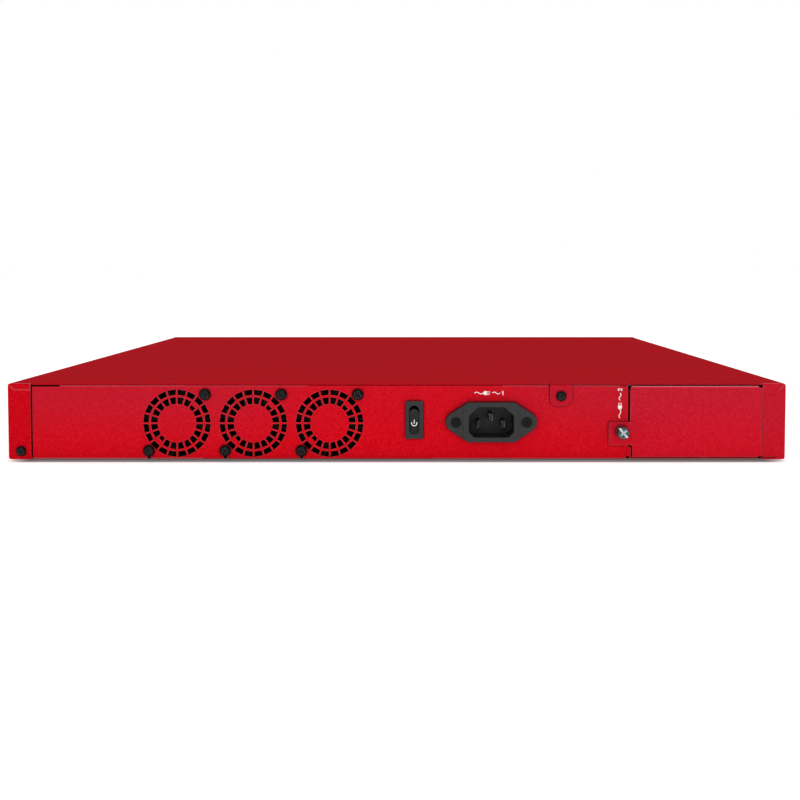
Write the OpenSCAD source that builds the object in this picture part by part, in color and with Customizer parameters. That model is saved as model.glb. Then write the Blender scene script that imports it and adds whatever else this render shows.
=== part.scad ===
// One-unit rack firewall appliance, opened up into its separate pieces.
// +X is right and +Y is forward, seen from the rear panel; +Z is up; the feet stand on z = 0.

/* [Case] */
// Width over the top cover's sides
case_w = 440; // [430:0.5:446]
// Depth from the cover's rear strips to the front panel's face
case_d = 460; // [456:1:470]
// Height of the folded case without its feet
case_h = 43.2; // [42.5:0.1:43.5]
// Height of the adhesive rubber feet
foot_h = 1.2; // [1:0.1:2]
// Thickness of the cover, rear panel and bay cover sheet
sheet_t = 1; // [0.9:0.1:1]
// Thickness of the floor sheet
floor_t = 0.7; // [0.7:0.1:0.8]

/* [Fans] */
// Edge length of a square fan
fan_size = 40; // [39.5:0.1:40]
// Thickness of a fan
fan_t = 20; // [18:1:20]
// Distance between a fan's screw holes
fan_pitch = 32; // [31:0.5:32]
// Distance between the fans' centres
fan_step = 43.3; // [42:0.1:44]
// Middle fan's place across the case
fan_mid_x = -81.4; // [-84:0.1:-80]
// Number of vent slots in each ring of the grille
vent_count = 20; // [16:1:24]

/* [Power inlet and switch] */
// Inlet's place across the case
inlet_x = 53.5; // [50:0.5:56]
// Height of the inlet's centre
inlet_z = 22.5; // [21:0.1:23]
// Distance between the inlet's screws
inlet_pitch = 40; // [38:0.5:42]
// Switch's place across the case
switch_x = 9.9; // [5:0.1:15]
// Height of the switch's pivot
switch_z = 23.6; // [22:0.1:25]
// Rocker's tilt to each side of level
rocker_tilt = 8; // [5:0.5:9]

/* [Second supply bay] */
// Left edge of the bay's cover plate
bay_x0 = 132.3; // [128:0.5:136]
// Right edge of the bay's cover plate
bay_x1 = 207; // [200:0.5:207]
// Depth of the bay's cage
bay_d = 156; // [120:1:170]
// How far the captive screw's head stands out of the cover
captive_out = 8.6; // [8:0.1:11]

/* [Boards] */
// Height of the board standoffs
standoff_h = 6; // [5:0.5:7]
// Thickness of the circuit boards
board_t = 1.6; // [1.2:0.1:1.6]

/* [Hidden] */
$fn = 48;

// Planes of the case
rear_y = -case_d / 2;
front_y = case_d / 2;
bottom_z = foot_h;
top_z = foot_h + case_h;
floor_z = bottom_z + floor_t;
roof_z = top_z - sheet_t;
panel_y = rear_y + sheet_t + 0.1;
panel_in_y = panel_y + sheet_t;
front_t = 1.5;
front_in_y = front_y - front_t;
rim_d = 2.5;
seam = 0.2;
cover_front_y = front_in_y - rim_d - seam;
bend_r = 1.4;
half_w = case_w / 2;
pan_half_w = half_w - sheet_t - seam;
panel_half_w = pan_half_w - 0.4;
panel_top_z = roof_z - 0.04;
ledge_half_w = pan_half_w - 1.6;

// Rear strips, lips and tab of the top cover
strip_w = 12.7;
lip_h = 3.5;
lip_seam = 0.2;
tab_w = 12.4;
tab_drop = 12.8;
tab_x = 93;
tab_screw_z = 37.2;
slot_w = 16.6;
strip_screw = [-half_w + 7.1, 5.9];
cover_screw_r = 1.5;

// Rack ear holes in the sides
ear_hole_r = 1.65;
ear_clear_r = 2.5;
ear_y = [150, 190];
ear_z = [12, 34];

// Fans
fan_x = [for (i = [-1, 0, 1]) fan_mid_x + i * fan_step];
fan_z = floor_z + 0.1 + fan_size / 2;
fan_bore_r = fan_size / 2 - 1;
fan_hub_r = 9.3;
fan_hole_r = 1.75;
blade_count = 7;
blade_r = fan_bore_r - 0.6;
fan_screw_r = 1.7;
fan_head_r = 3.2;
vent_rings = [[10.9, 14.8], [16, 19.1]];
vent_web = 0.9;
vent_z = fan_z - 0.4;

// Supply bay
bay_opening = [bay_x0 - 1.2, bottom_z + 0.6, bay_x1 + 0.4, panel_top_z - 0.9];
bay_tab = [bay_x0 - 12.2, 9.2, 22.4];
bay_step = bay_tab[1] - 1.2;
bay_notch = 1.3;
captive_at = [bay_x0 - 5.2, 17.2];
cage_y = panel_in_y + 8;
captive_head_r = 3.5;
captive_shank_r = 1.5;
captive_bore_r = 1.6;
washer_t = 0.6;
ferrule_h = 1.8;

// Main board, and the notch in it for the expansion bay
board_z = floor_z + standoff_h;
deck_z = board_z + board_t;
board_front = front_in_y - 6;
board_outline = [
    [-205, -170], [8, -170], [8, -12], [205, -12], [205, board_front],
    [-104, board_front], [-104, 90], [-205, 90]
];
board_holes = [
    [-198, -160], [-80, -163], [2, -163], [-198, 20], [-30, 20], [198, -5],
    [198, 120], [100, 212], [-96, 212], [-198, 82]
];

// Front panel openings: [x0, z0, x1, z1]
expansion_slot = [-196, 6.5, -112, 39];
port_slot = [-40.4, deck_z + 0.4, 17.2, deck_z + 26.4];
console_slot = [50.4, deck_z + 0.3, 65.6, deck_z + 12.8];
usb_slot = [78.2, deck_z + 0.3, 92.2, deck_z + 15.4];
reset_at = [106, deck_z + 6];
lamp_x = [118, 126, 134];
lamp_z = deck_z + 6;

// Lead routes, each from its connector to its socket
fan_lead_r = 1.5;
fan_lead_routes = [for (i = [0, 1, 2]) [
    [fan_x[i] + 17, panel_in_y + fan_t + 0.2, 6],
    [fan_x[i] + 17, panel_in_y + fan_t + 5, 6],
    [fan_x[i] + 15, panel_in_y + fan_t + 12, 12],
    [fan_x[i] + 12, panel_in_y + fan_t + 20, 16],
    [fan_x[i] + 10, panel_in_y + fan_t + 30, 16.5],
    [fan_x[i] + 10, panel_in_y + fan_t + 38, 16.5]
]];
dc_route = [
    [70, -28, 14], [70, -21, 14], [68, -10, 17], [60, 2, 18], [48, 12, 17], [40, 20, 16.5], [34, 28, 16.5]
];
ac_routes = [
    [[46.5, -198.6, 21], [46.5, -193, 21], [38, -189, 17], [27, -191, 15], [16, -195, 17], [11.7, -199, 19.6],
     [11.7, -203.5, 20]],
    [[60.5, -198.6, 21], [60.5, -193, 21], [61, -188, 18], [62, -183, 13.5], [62, -178.2, 12.5]],
    [[7.7, -203.5, 27.2], [7.7, -197, 27], [10, -190, 24], [20, -184, 19], [36, -180, 15], [46, -183, 12.8],
     [52, -178.2, 12.5]]
];

// ---- shared shapes ----

// A flat shape drawn in x and z, standing on plane y0 and t thick towards +Y.
module wall(y0, t) {
    translate([0, y0 + t, 0]) rotate([90, 0, 0]) linear_extrude(t) children();
}

module bar(low, high) {
    translate(low) cube(high - low);
}

// A rod along +Y from y0.
module rod(x, y0, z, r, length) {
    translate([x, y0, z]) rotate([-90, 0, 0]) cylinder(h = length, r = r);
}

module frame_2d(box) {
    translate([box[0], box[1]]) square([box[2] - box[0], box[3] - box[1]]);
}

module rounded_2d(w, h, r) {
    square([w - 2 * r, h], center = true);
    square([w, h - 2 * r], center = true);
    for (sx = [-1, 1], sz = [-1, 1]) translate([sx * (w / 2 - r), sz * (h / 2 - r)]) circle(r);
}

module stadium_2d(w, h) {
    square([w, h - w], center = true);
    for (s = [-1, 1]) translate([0, s * (h - w) / 2]) circle(w / 2);
}

// A pan-head screw with a cross recess, its head towards -Y and its seat at y = 0.
module screw_y(head_r, head_h, shank_r, shank_l) {
    recess = head_r * 0.3;
    difference() {
        union() {
            rotate([90, 0, 0]) cylinder(h = head_h * 0.45, r = head_r);
            translate([0, -head_h * 0.45, 0]) rotate([90, 0, 0])
                cylinder(h = head_h * 0.3, r1 = head_r, r2 = head_r * 0.88);
            translate([0, -head_h * 0.75, 0]) rotate([90, 0, 0])
                cylinder(h = head_h * 0.25, r1 = head_r * 0.88, r2 = head_r * 0.6);
            rotate([-90, 0, 0]) cylinder(h = shank_l, r = shank_r);
        }
        for (a = [30, 120]) translate([0, -head_h, 0]) rotate([0, a, 0])
            cube([head_r * 1.25, head_h * 1.3, recess], center = true);
    }
}

// A tube swept along a route of points.
function unit(v) = v / norm(v);
function blend_at(p, i, u) =
    let (a = p[max(i - 1, 0)], b = p[i], c = p[i + 1], d = p[min(i + 2, len(p) - 1)])
    0.5 * (2 * b + (c - a) * u + (2 * a - 5 * b + 4 * c - d) * u * u + (3 * b - a - 3 * c + d) * u * u * u);
function smooth_route(p, steps) = concat(
    [for (i = [0 : len(p) - 2], s = [0 : steps - 1]) blend_at(p, i, s / steps)], [p[len(p) - 1]]);
function direction(p, i) = unit(p[min(i + 1, len(p) - 1)] - p[max(i - 1, 0)]);
function ring_at(p, i, r, sides) =
    let (t = direction(p, i), s = unit(cross(t, [0.31, 0.17, 1])), u = cross(s, t))
    [for (k = [0 : sides - 1]) p[i] + r * (cos(360 * k / sides) * s + sin(360 * k / sides) * u)];

module tube_along(route, r, sides = 8, steps = 4) {
    p = smooth_route(route, steps);
    rings = len(p);
    points = [for (i = [0 : rings - 1]) each ring_at(p, i, r, sides)];
    walls = [for (i = [0 : rings - 2], k = [0 : sides - 1])
        [i * sides + k, i * sides + (k + 1) % sides, (i + 1) * sides + (k + 1) % sides, (i + 1) * sides + k]];
    start = [for (k = [sides - 1 : -1 : 0]) k];
    finish = [for (k = [0 : sides - 1]) (rings - 1) * sides + k];
    polyhedron(points = points, faces = concat(walls, [start, finish]), convexity = 4);
}

// ---- case ----

// Upright sides and a flat web, open on one side, as a section in x and z.
module channel_2d(half, low, high, t, r) {
    difference() {
        union() {
            translate([-half, low]) square([2 * half, high - low - r]);
            translate([-half + r, low]) square([2 * half - 2 * r, high - low]);
            for (s = [-1, 1]) translate([s * (half - r), high - r]) circle(r);
        }
        translate([-half + t, low - 1]) square([2 * half - 2 * t, high - low + 1 - t]);
    }
}

module ear_holes(x0, length, r) {
    for (y = ear_y, z = ear_z) translate([x0, y, z]) rotate([0, 90, 0]) cylinder(h = length, r = r);
}

module base_pan() color("firebrick") {
    wall_t = floor_t + 0.2;
    difference() {
        union() {
            bar([-pan_half_w, panel_in_y, bottom_z], [pan_half_w, front_in_y, floor_z]);
            for (s = [-1, 1]) bar(
                [s > 0 ? pan_half_w - wall_t : -pan_half_w, panel_in_y, bottom_z],
                [s > 0 ? pan_half_w : -pan_half_w + wall_t, front_in_y, roof_z - 0.4]
            );
        }
        ear_holes(-pan_half_w - 1, 2 * pan_half_w + 2, ear_hole_r);
        for (x = fan_x) translate([x - fan_pitch / 2 - 2, panel_in_y - 1, bottom_z - 1]) cube([4, 6, 3]);
        for (x = [bay_opening[0] - 1.6, bay_opening[2] - 3])
            translate([x, panel_in_y - 1, bottom_z - 1]) cube([3, 6, 3]);
    }
}

module rack_nuts() color("silver") {
    wall_t = floor_t + 0.2;
    for (s = [-1, 1], y = ear_y, z = ear_z)
        translate([s * (pan_half_w - wall_t), y, z]) rotate([0, -90 * s, 0]) difference() {
            cylinder(h = 2.4, r = 3.4);
            translate([0, 0, -1]) cylinder(h = 5, r = ear_hole_r);
        }
}

module vent_2d() {
    step = 360 / vent_count;
    for (ring = [0, 1], k = [0 : vent_count - 1]) {
        a = (k + 0.5) * step;
        shortened = ring == 0 && (abs(a - 45) < step / 4 || abs(a - 225) < step / 4);
        r0 = vent_rings[ring][0];
        r1 = shortened ? vent_rings[ring][1] - 1.4 : vent_rings[ring][1];
        w0 = r0 * tan(step / 2) - vent_web / 2;
        w1 = r1 * tan(step / 2) - vent_web / 2;
        rotate(a) polygon([[r0, -w0], [r1, -w1], [r1, w1], [r0, w0]]);
    }
}

module rear_openings_2d() {
    for (x = fan_x) translate([x, vent_z]) vent_2d();
    for (x = fan_x, s = [-1, 1]) translate([x + s * fan_pitch / 2, fan_z + s * fan_pitch / 2])
        circle(fan_screw_r + 0.05);
    for (x = fan_x) translate([x - fan_pitch / 2 - 1, bottom_z - 1]) square([2, 3]);
    frame_2d([bay_opening[0], bay_step, bay_opening[2], bay_opening[3]]);
    frame_2d([bay_x0 + bay_notch - 0.7, bay_opening[1], bay_opening[2], bay_step + 1]);
    translate([switch_x, switch_z]) square([8.6, 18.8], center = true);
    translate([inlet_x, inlet_z]) square([28.4, 20.4], center = true);
    for (s = [-1, 1]) translate([inlet_x + s * inlet_pitch / 2, inlet_z]) circle(1.55);
    translate(captive_at) circle(captive_bore_r);
    for (at = [strip_screw, [tab_x, tab_screw_z]]) translate(at) circle(cover_screw_r + 0.1);
    frame_2d([-half_w + strip_w - 0.8, panel_top_z - 1, -half_w + strip_w + slot_w, panel_top_z + 1]);
    frame_2d([-half_w + strip_w - 0.6, bottom_z + 1.2, -half_w + strip_w + 0.7, panel_top_z]);
    for (x = [bay_opening[0] - 1.2, bay_opening[2] - 2.6])
        frame_2d([x, bottom_z - 1, x + 2.2, bay_opening[1] + 1.2]);
    frame_2d([bay_opening[0] - 0.6, bay_opening[3] - 1, bay_opening[2], panel_top_z + 1]);
}

module rear_panel() color("crimson") {
    round_r = 0.8;
    difference() {
        translate([-panel_half_w, 0, 0]) rotate([90, 0, 90]) linear_extrude(2 * panel_half_w) union() {
            translate([panel_y + round_r, bottom_z]) square([sheet_t - round_r, panel_top_z - bottom_z]);
            translate([panel_y, bottom_z + round_r]) square([sheet_t, panel_top_z - bottom_z - 2 * round_r]);
            intersection() {
                for (z = [bottom_z + round_r, panel_top_z - round_r])
                    translate([panel_y + round_r, z]) circle(round_r);
                translate([panel_y, bottom_z]) square([sheet_t, panel_top_z - bottom_z]);
            }
        }
        wall(panel_y - 1, sheet_t + 2) rear_openings_2d();
    }
    for (span = [[-half_w + strip_w + slot_w + 1, -148], [-16, bay_opening[0] - 2]])
        bar([span[0], panel_in_y - 0.3, panel_top_z - 0.9], [span[1], panel_in_y + 6, panel_top_z]);
}

// A strip whose lower outer corner, on side s, is rounded.
module strip_2d(s, w, h, r) {
    translate([-w / 2, -h / 2 + r]) square([w, h - r]);
    translate([s > 0 ? -w / 2 : -w / 2 + r, -h / 2]) square([w - r, h]);
    translate([s * (w / 2 - r), -h / 2 + r]) circle(r);
}

module rear_strips_2d() {
    difference() {
        union() {
            for (s = [-1, 1]) translate([s * (half_w - strip_w / 2), bottom_z + case_h / 2])
                strip_2d(s, strip_w, case_h, 1.5);
            translate([tab_x - tab_w / 2, top_z - tab_drop + 4]) square([tab_w, tab_drop - 4]);
            for (s = [-1, 1]) translate([tab_x + s * (tab_w / 2 - 4), top_z - tab_drop + 4]) circle(4);
            translate([tab_x - tab_w / 2 + 4, top_z - tab_drop]) square([tab_w - 8, 5]);
        }
        translate(strip_screw) circle(cover_screw_r + 0.1);
        translate([tab_x, tab_screw_z]) circle(cover_screw_r + 0.1);
        translate([-half_w, top_z]) polygon([
            [strip_w, -lip_h], [lip_h, -lip_h], [-1, 1], [-1, 1 - lip_seam * 1.5],
            [lip_h - 0.1, -lip_h - lip_seam], [strip_w, -lip_h - lip_seam]
        ]);
        translate([half_w, top_z]) polygon([
            [-lip_h, -lip_h], [1, 1], [1, 1 - lip_seam * 2], [-lip_h, -lip_h - lip_seam]
        ]);
        translate([half_w - strip_w - 1, bottom_z + 0.8]) square([8, 0.5]);
        translate([half_w - strip_w + 7, bottom_z + 0.8]) rotate(30) square([1.4, 0.5]);
    }
}

module top_cover() color("crimson") difference() {
    union() {
        difference() {
            translate([0, cover_front_y, 0]) rotate([90, 0, 0])
                linear_extrude(cover_front_y - rear_y - sheet_t)
                channel_2d(half_w, bottom_z, top_z, sheet_t, bend_r);
            ear_holes(-half_w - 1, 2 * half_w + 2, ear_clear_r);
        }
        intersection() {
            wall(rear_y, sheet_t) rear_strips_2d();
            translate([0, rear_y + sheet_t + 1, 0]) rotate([90, 0, 0]) linear_extrude(sheet_t + 2)
                channel_2d(half_w, bottom_z, top_z, case_h, bend_r);
        }
    }
}

module cover_screws() color([0.08, 0.08, 0.09]) {
    for (at = [strip_screw, [tab_x, tab_screw_z]]) translate([at[0], rear_y, at[1]])
        screw_y(2.8, 1.5, cover_screw_r, 6);
}

module front_panel() color("crimson") {
    difference() {
        union() {
            wall(front_in_y, front_t) frame_2d([-half_w, bottom_z, half_w, top_z]);
            difference() {
                bar([-half_w, front_in_y - rim_d, bottom_z], [half_w, front_in_y, top_z]);
                bar([-half_w + sheet_t, front_in_y - rim_d - 1, bottom_z - 1],
                    [half_w - sheet_t, front_in_y + 1, roof_z]);
            }
            bar([-ledge_half_w, front_in_y - 8, roof_z - seam - sheet_t],
                [ledge_half_w, front_in_y, roof_z - seam]);
        }
        wall(front_in_y - 1, front_t + 2) {
            for (box = [expansion_slot, port_slot, console_slot, usb_slot]) frame_2d(box);
            translate(reset_at) circle(1.9);
            for (x = lamp_x) translate([x, lamp_z]) circle(1.6);
            for (x = [-100 : 5 : -50], z = [12, 26]) translate([x, z]) square([2.6, 10]);
            for (x = [146 : 5 : 196], z = [12, 26]) translate([x, z]) square([2.6, 10]);
            for (x = [expansion_slot[0] - 5, expansion_slot[2] + 5]) translate([x, 22.7]) circle(1.6);
        }
    }
}

module rubber_feet() color([0.05, 0.05, 0.05]) {
    for (x = [-195, 195], y = [-200, 200]) translate([x, y, 0]) cylinder(h = foot_h, r1 = 7.6, r2 = 8);
}

// ---- second supply bay ----

module bay_cover() color("crimson") {
    flange_t = 0.8;
    wall(rear_y, sheet_t) difference() {
        union() {
            frame_2d([bay_x0, bay_opening[1] + 0.7, bay_x1, panel_top_z - 0.5]);
            frame_2d([bay_tab[0] + 1, bay_tab[1], bay_x0 + 1, bay_tab[2]]);
            frame_2d([bay_tab[0], bay_tab[1] + 1, bay_x0 + 1, bay_tab[2] - 1]);
            for (z = [bay_tab[1] + 1, bay_tab[2] - 1]) translate([bay_tab[0] + 1, z]) circle(1);
        }
        translate(captive_at) circle(captive_shank_r + 0.7);
        frame_2d([bay_x0 - 1, bay_opening[1], bay_x0 + bay_notch, bay_step]);
        translate([bay_x0, bay_step]) circle(bay_notch);
        translate([bay_x0, panel_top_z - 0.5]) rotate(45) square([1.6, 1.6], center = true);
        frame_2d([bay_x1 - 2.2, panel_top_z - 1.4, bay_x1 + 1, panel_top_z]);
        frame_2d([bay_x1 - 2.2, bay_opening[1], bay_x1 + 1, bay_opening[1] + 1.2]);
    }
    bar([bay_x0 - 0.1, rear_y + 0.15, bay_step + bay_notch + 0.2], [bay_x0 - 0.1 + flange_t, rear_y + 9, 40]);
    bar([bay_x1 - 2, rear_y + sheet_t, 6], [bay_x1 - 2 + flange_t, rear_y + 9, 40]);
    bar([140, rear_y + sheet_t, 40], [198, rear_y + 9, 40 + flange_t]);
    bar([140, rear_y + sheet_t, 5.2], [198, rear_y + 9, 5.2 + flange_t]);
}

module captive_ferrule() color("silver") translate([captive_at[0], rear_y, captive_at[1]])
    rotate([90, 0, 0]) difference() {
        cylinder(h = ferrule_h, r = 3.4);
        translate([0, 0, -1]) cylinder(h = ferrule_h + 2, r = captive_shank_r + 0.7);
    }

module captive_washer() color("gainsboro")
    translate([captive_at[0], rear_y - ferrule_h - 0.1, captive_at[1]]) rotate([90, 0, 0]) difference() {
        cylinder(h = washer_t, r = 3.3);
        translate([0, 0, -1]) cylinder(h = washer_t + 2, r = captive_shank_r + 0.1);
    }

module captive_screw() color("silver") {
    seat = rear_y - ferrule_h - washer_t - 0.2;
    head_h = captive_out - ferrule_h - washer_t - 0.2;
    translate([captive_at[0], seat, captive_at[1]]) rotate([90, 0, 0]) difference() {
        union() {
            cylinder(h = head_h - 0.6, r = captive_head_r);
            translate([0, 0, head_h - 0.6]) cylinder(h = 0.6, r1 = captive_head_r, r2 = captive_head_r - 0.5);
            translate([0, 0, -9]) cylinder(h = 9.5, r = captive_shank_r);
        }
        for (k = [0 : 17]) rotate(k * 20) translate([captive_head_r + 0.12, 0, head_h / 2])
            rotate(45) cube([0.5, 0.5, head_h - 2.4], center = true);
        for (a = [40, 130]) rotate(a) translate([0, 0, head_h]) cube([4.2, 1, 3.6], center = true);
        rotate(130) translate([0, 0, head_h]) cube([8, 0.9, 1.4], center = true);
        translate([0, 0, head_h - 1]) cylinder(h = 2, r1 = 0.6, r2 = 1.9);
    }
}

module bay_cage() color("lightsteelblue") {
    t = 0.8;
    x0 = bay_x0 - 0.4;
    x1 = bay_x1 - 0.1;
    difference() {
        bar([x0, cage_y, floor_z], [x1, cage_y + bay_d, panel_top_z - 1]);
        bar([x0 + t, cage_y - 1, floor_z - 1], [x1 - t, cage_y + bay_d + 1, panel_top_z - 1 - t]);
    }
}

module bay_connector() color([0.1, 0.1, 0.11]) {
    y0 = cage_y + bay_d;
    difference() {
        union() {
            bar([140, y0 - 8, 12], [188, y0 + 2, 22]);
            bar([134, y0 + 2, 4], [204, y0 + 3.6, 36]);
        }
        bar([144, y0 - 9, 15.5], [184, y0 - 1, 18.5]);
    }
}

// ---- fans ----

module fan_frame(x) color([0.07, 0.07, 0.08]) translate([x, panel_in_y, fan_z]) {
    difference() {
        union() {
            difference() {
                wall(0.1, fan_t - 0.1) difference() {
                    rounded_2d(fan_size, fan_size, 2.5);
                    circle(fan_bore_r);
                    for (sx = [-1, 1], sz = [-1, 1]) translate([sx * fan_pitch / 2, sz * fan_pitch / 2])
                        circle(fan_hole_r);
                }
                for (a = [0 : 90 : 270]) rotate([0, a, 0])
                    translate([-11, 3.5, fan_size / 2 - 0.9]) cube([22, fan_t - 7, 3]);
            }
            rod(0, 0.1, 0, fan_hub_r, 2.4);
            rod(0, 2.4, 0, 3.1, 9.6);
            for (a = [10 : 90 : 280]) rotate([0, a, 0]) translate([-1.1, 0.1, fan_hub_r - 2])
                cube([2.2, 2.2, fan_bore_r - fan_hub_r + 2.4]);
        }
        rod(0, 1.5, 0, 2.3, fan_t);
    }
}

module fan_rotor(x) color([0.12, 0.12, 0.13]) translate([x, panel_in_y, fan_z]) {
    difference() {
        rod(0, 3, 0, fan_hub_r, 15.5);
        rod(0, 2, 0, fan_hub_r - 0.9, 15.4);
    }
    rod(0, 2.2, 0, 1, 15.8);
    for (k = [0 : blade_count - 1]) rotate([0, k * 360 / blade_count, 0]) intersection() {
        difference() {
            rod(0, 4, 0, blade_r, 13.5);
            rod(0, 3, 0, fan_hub_r - 0.3, 15.5);
        }
        translate([0, 10.7, 0]) rotate([0, 0, 52]) translate([-12, -0.55, 0]) cube([24, 1.1, fan_bore_r]);
    }
}

module fan_stators() color("peru") for (x = fan_x) translate([x, panel_in_y, fan_z]) {
    difference() {
        union() {
            for (a = [0, 90]) rotate([0, a, 0]) translate([-7.6, 4.2, -2]) cube([15.2, 7, 4]);
            rod(0, 4.2, 0, 5, 7);
            for (a = [0 : 90 : 270]) rotate([0, a, 0]) intersection() {
                rod(0, 4.2, 0, 7.8, 7);
                translate([5.6, 4.2, -4]) cube([4, 7, 8]);
            }
        }
        rod(0, 3, 0, 3.15, 10);
    }
}

module fan_bearings() color("goldenrod") for (x = fan_x) translate([x, panel_in_y, fan_z]) difference() {
    rod(0, 1.5, 0, 2.3, 10);
    rod(0, 1, 0, 1.05, 12);
}

module fan_screws() color([0.06, 0.06, 0.07]) for (x = fan_x, s = [-1, 1])
    translate([x + s * fan_pitch / 2, panel_y, fan_z + s * fan_pitch / 2])
        screw_y(fan_head_r, 2.1, fan_screw_r, 12);

module fan_leads() color([0.1, 0.1, 0.1]) for (i = [0, 1, 2]) {
    tube_along(fan_lead_routes[i], fan_lead_r);
    translate([fan_x[i], panel_in_y + fan_t, 0]) difference() {
        bar([5.5, 38, deck_z], [14.5, 44, 20.5]);
        bar([6.5, 39.5, 19], [13.5, 42.5, 21]);
    }
}

// ---- power inlet and switch ----

// Where a straight edge from a corner meets a round of radius r about centre c.
function tangent_point(corner, c, r) =
    let (d = corner - c, a = atan2(d[1], d[0]) - acos(r / norm(d))) c + r * [cos(a), sin(a)];

flange_top = [13.2, 11.25];
flange_tip_r = 5.7;

module inlet_flange_2d() {
    tip = [inlet_pitch / 2, 0];
    t = tangent_point(flange_top, tip, flange_tip_r);
    polygon([
        [-flange_top[0], flange_top[1]], flange_top, t, [t[0], -t[1]],
        [flange_top[0], -flange_top[1]], -flange_top, [-t[0], -t[1]], [-t[0], t[1]]
    ]);
    for (s = [-1, 1]) translate([s * tip[0], 0]) circle(flange_tip_r);
}

module inlet_cavity_2d() {
    w = 12.7;
    h = 8.6;
    polygon([
        [-w + 5.2, h], [w - 5.2, h], [w, h - 4.9], [w, -h + 3],
        [w - 3, -h], [-w + 3, -h], [-w, -h + 3], [-w, h - 4.9]
    ]);
}

pin_places = [[0, 2.2, 3], [-7, -1.8, 1.5], [7, -1.8, 1.5]];

module inlet_housing() color([0.13, 0.13, 0.14]) translate([inlet_x, 0, inlet_z]) difference() {
    union() {
        wall(panel_y - 3, 3) inlet_flange_2d();
        wall(panel_y - 3.6, 0.6) intersection() {
            inlet_flange_2d();
            square([31.8, 30], center = true);
        }
        wall(panel_y, 17) square([28.2, 20.2], center = true);
    }
    wall(panel_y - 5, 18) inlet_cavity_2d();
    for (p = pin_places) bar([p[0] - 1, panel_y - 4, p[1] - 2], [p[0] + 1, panel_y + 20, p[1] + 2]);
    for (s = [-1, 1]) translate([s * inlet_pitch / 2, panel_y - 3, 0]) rotate([-90, 0, 0]) {
        cylinder(h = 2, r1 = 3.3, r2 = 1.6);
        translate([0, 0, -1]) cylinder(h = 5, r = 1.6);
    }
}

module inlet_pins() color("silver") translate([inlet_x, 0, inlet_z]) for (p = pin_places)
    bar([p[0] - 1, panel_y - p[2] + 5, p[1] - 2], [p[0] + 1, panel_y + 29.8, p[1] + 2]);

module inlet_screws() color([0.05, 0.05, 0.06]) for (s = [-1, 1])
    translate([inlet_x + s * inlet_pitch / 2, panel_y - 3, inlet_z]) rotate([-90, 0, 0]) difference() {
        union() {
            translate([0, 0, 0.15]) cylinder(h = 1.7, r1 = 3.05, r2 = 1.5);
            translate([0, 0, 1.5]) cylinder(h = 8, r = 1.5);
        }
        for (a = [20, 110]) rotate(a) cube([3, 0.7, 1.6], center = true);
    }

module switch_housing() color([0.13, 0.13, 0.14]) translate([switch_x, 0, switch_z]) difference() {
    union() {
        wall(panel_y - 1.5, 1.5) rounded_2d(9.8, 21.3, 0.5);
        wall(panel_y, 15) square([8.4, 18.6], center = true);
    }
    wall(panel_y - 2, 12) stadium_2d(5.6, 16.5);
    translate([-3.4, panel_y + 4, 0]) rotate([0, 90, 0]) cylinder(h = 6.8, r = 0.96);
    for (z = [-3.6, 3.6]) bar([-2.4, panel_y + 12, z - 0.4], [2.4, panel_y + 16, z + 0.4]);
}

module switch_rocker() color([0.1, 0.1, 0.11])
    translate([switch_x, panel_y + 4, switch_z]) rotate([rocker_tilt, 0, 0]) {
        intersection() {
            translate([-2.45, 0, 0]) rotate([90, 0, 90]) linear_extrude(4.9) polygon([
                [-6.1, -7.35], [-4.7, 0], [-6.1, 7.35], [-2, 7.35], [1.6, 2.4], [1.6, -2.4], [-2, -7.35]
            ]);
            wall(-7, 10) stadium_2d(4.9, 14.7);
        }
        translate([-3.2, 0, 0]) rotate([0, 90, 0]) cylinder(h = 6.4, r = 0.9);
    }

module switch_terminals() color("silver") translate([switch_x, 0, switch_z]) for (z = [-3.6, 3.6])
    bar([-2.4, panel_y + 12, z - 0.4], [2.4, panel_y + 25, z + 0.4]);

module ac_leads() {
    color([0.1, 0.1, 0.1]) tube_along(ac_routes[0], 1.5);
    color([0.1, 0.3, 0.7]) tube_along(ac_routes[1], 1.5);
    color([0.45, 0.25, 0.1]) tube_along(ac_routes[2], 1.5);
}

// ---- power supply ----

supply_x = [22, 118];
supply_y = [-172, -32];
supply_deck = floor_z + 5;

module supply_tray() color("silver") difference() {
    bar([supply_x[0], supply_y[0], floor_z], [supply_x[1], supply_y[1], 32]);
    bar([supply_x[0] + 1, supply_y[0] - 1, floor_z + 1], [supply_x[1] - 1, supply_y[1] + 1, 33]);
    for (y = [supply_y[0] + 12 : 8 : supply_y[1] - 12])
        bar([supply_x[0] - 1, y, 12], [supply_x[1] + 1, y + 4, 26]);
}

module supply_board() color("darkgreen") {
    bar([supply_x[0] + 2, supply_y[0] - 6, supply_deck], [supply_x[1] - 2, supply_y[1] + 4, supply_deck + 1.6]);
    for (x = [supply_x[0] + 8, supply_x[1] - 8], y = [supply_y[0] + 8, supply_y[1] - 8])
        translate([x, y, floor_z + 1]) cylinder(h = supply_deck - floor_z - 1, r = 2.6);
    bar([46, supply_y[0] - 5.5, supply_deck + 1.6], [68, supply_y[0] + 5, 15]);
    bar([58, supply_y[1] - 8, supply_deck + 1.6], [82, supply_y[1] - 1, 18]);
}

module supply_heatsinks() color("silver") for (place = [[30, -150], [104, -110]])
    translate([place[0], place[1], supply_deck + 1.6]) {
        bar([0, 0, 0], [2.4, 56, 22]);
        for (y = [0 : 8 : 48]) bar([2.4, y, 8], [8, y + 1.6, 22]);
    }

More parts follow.
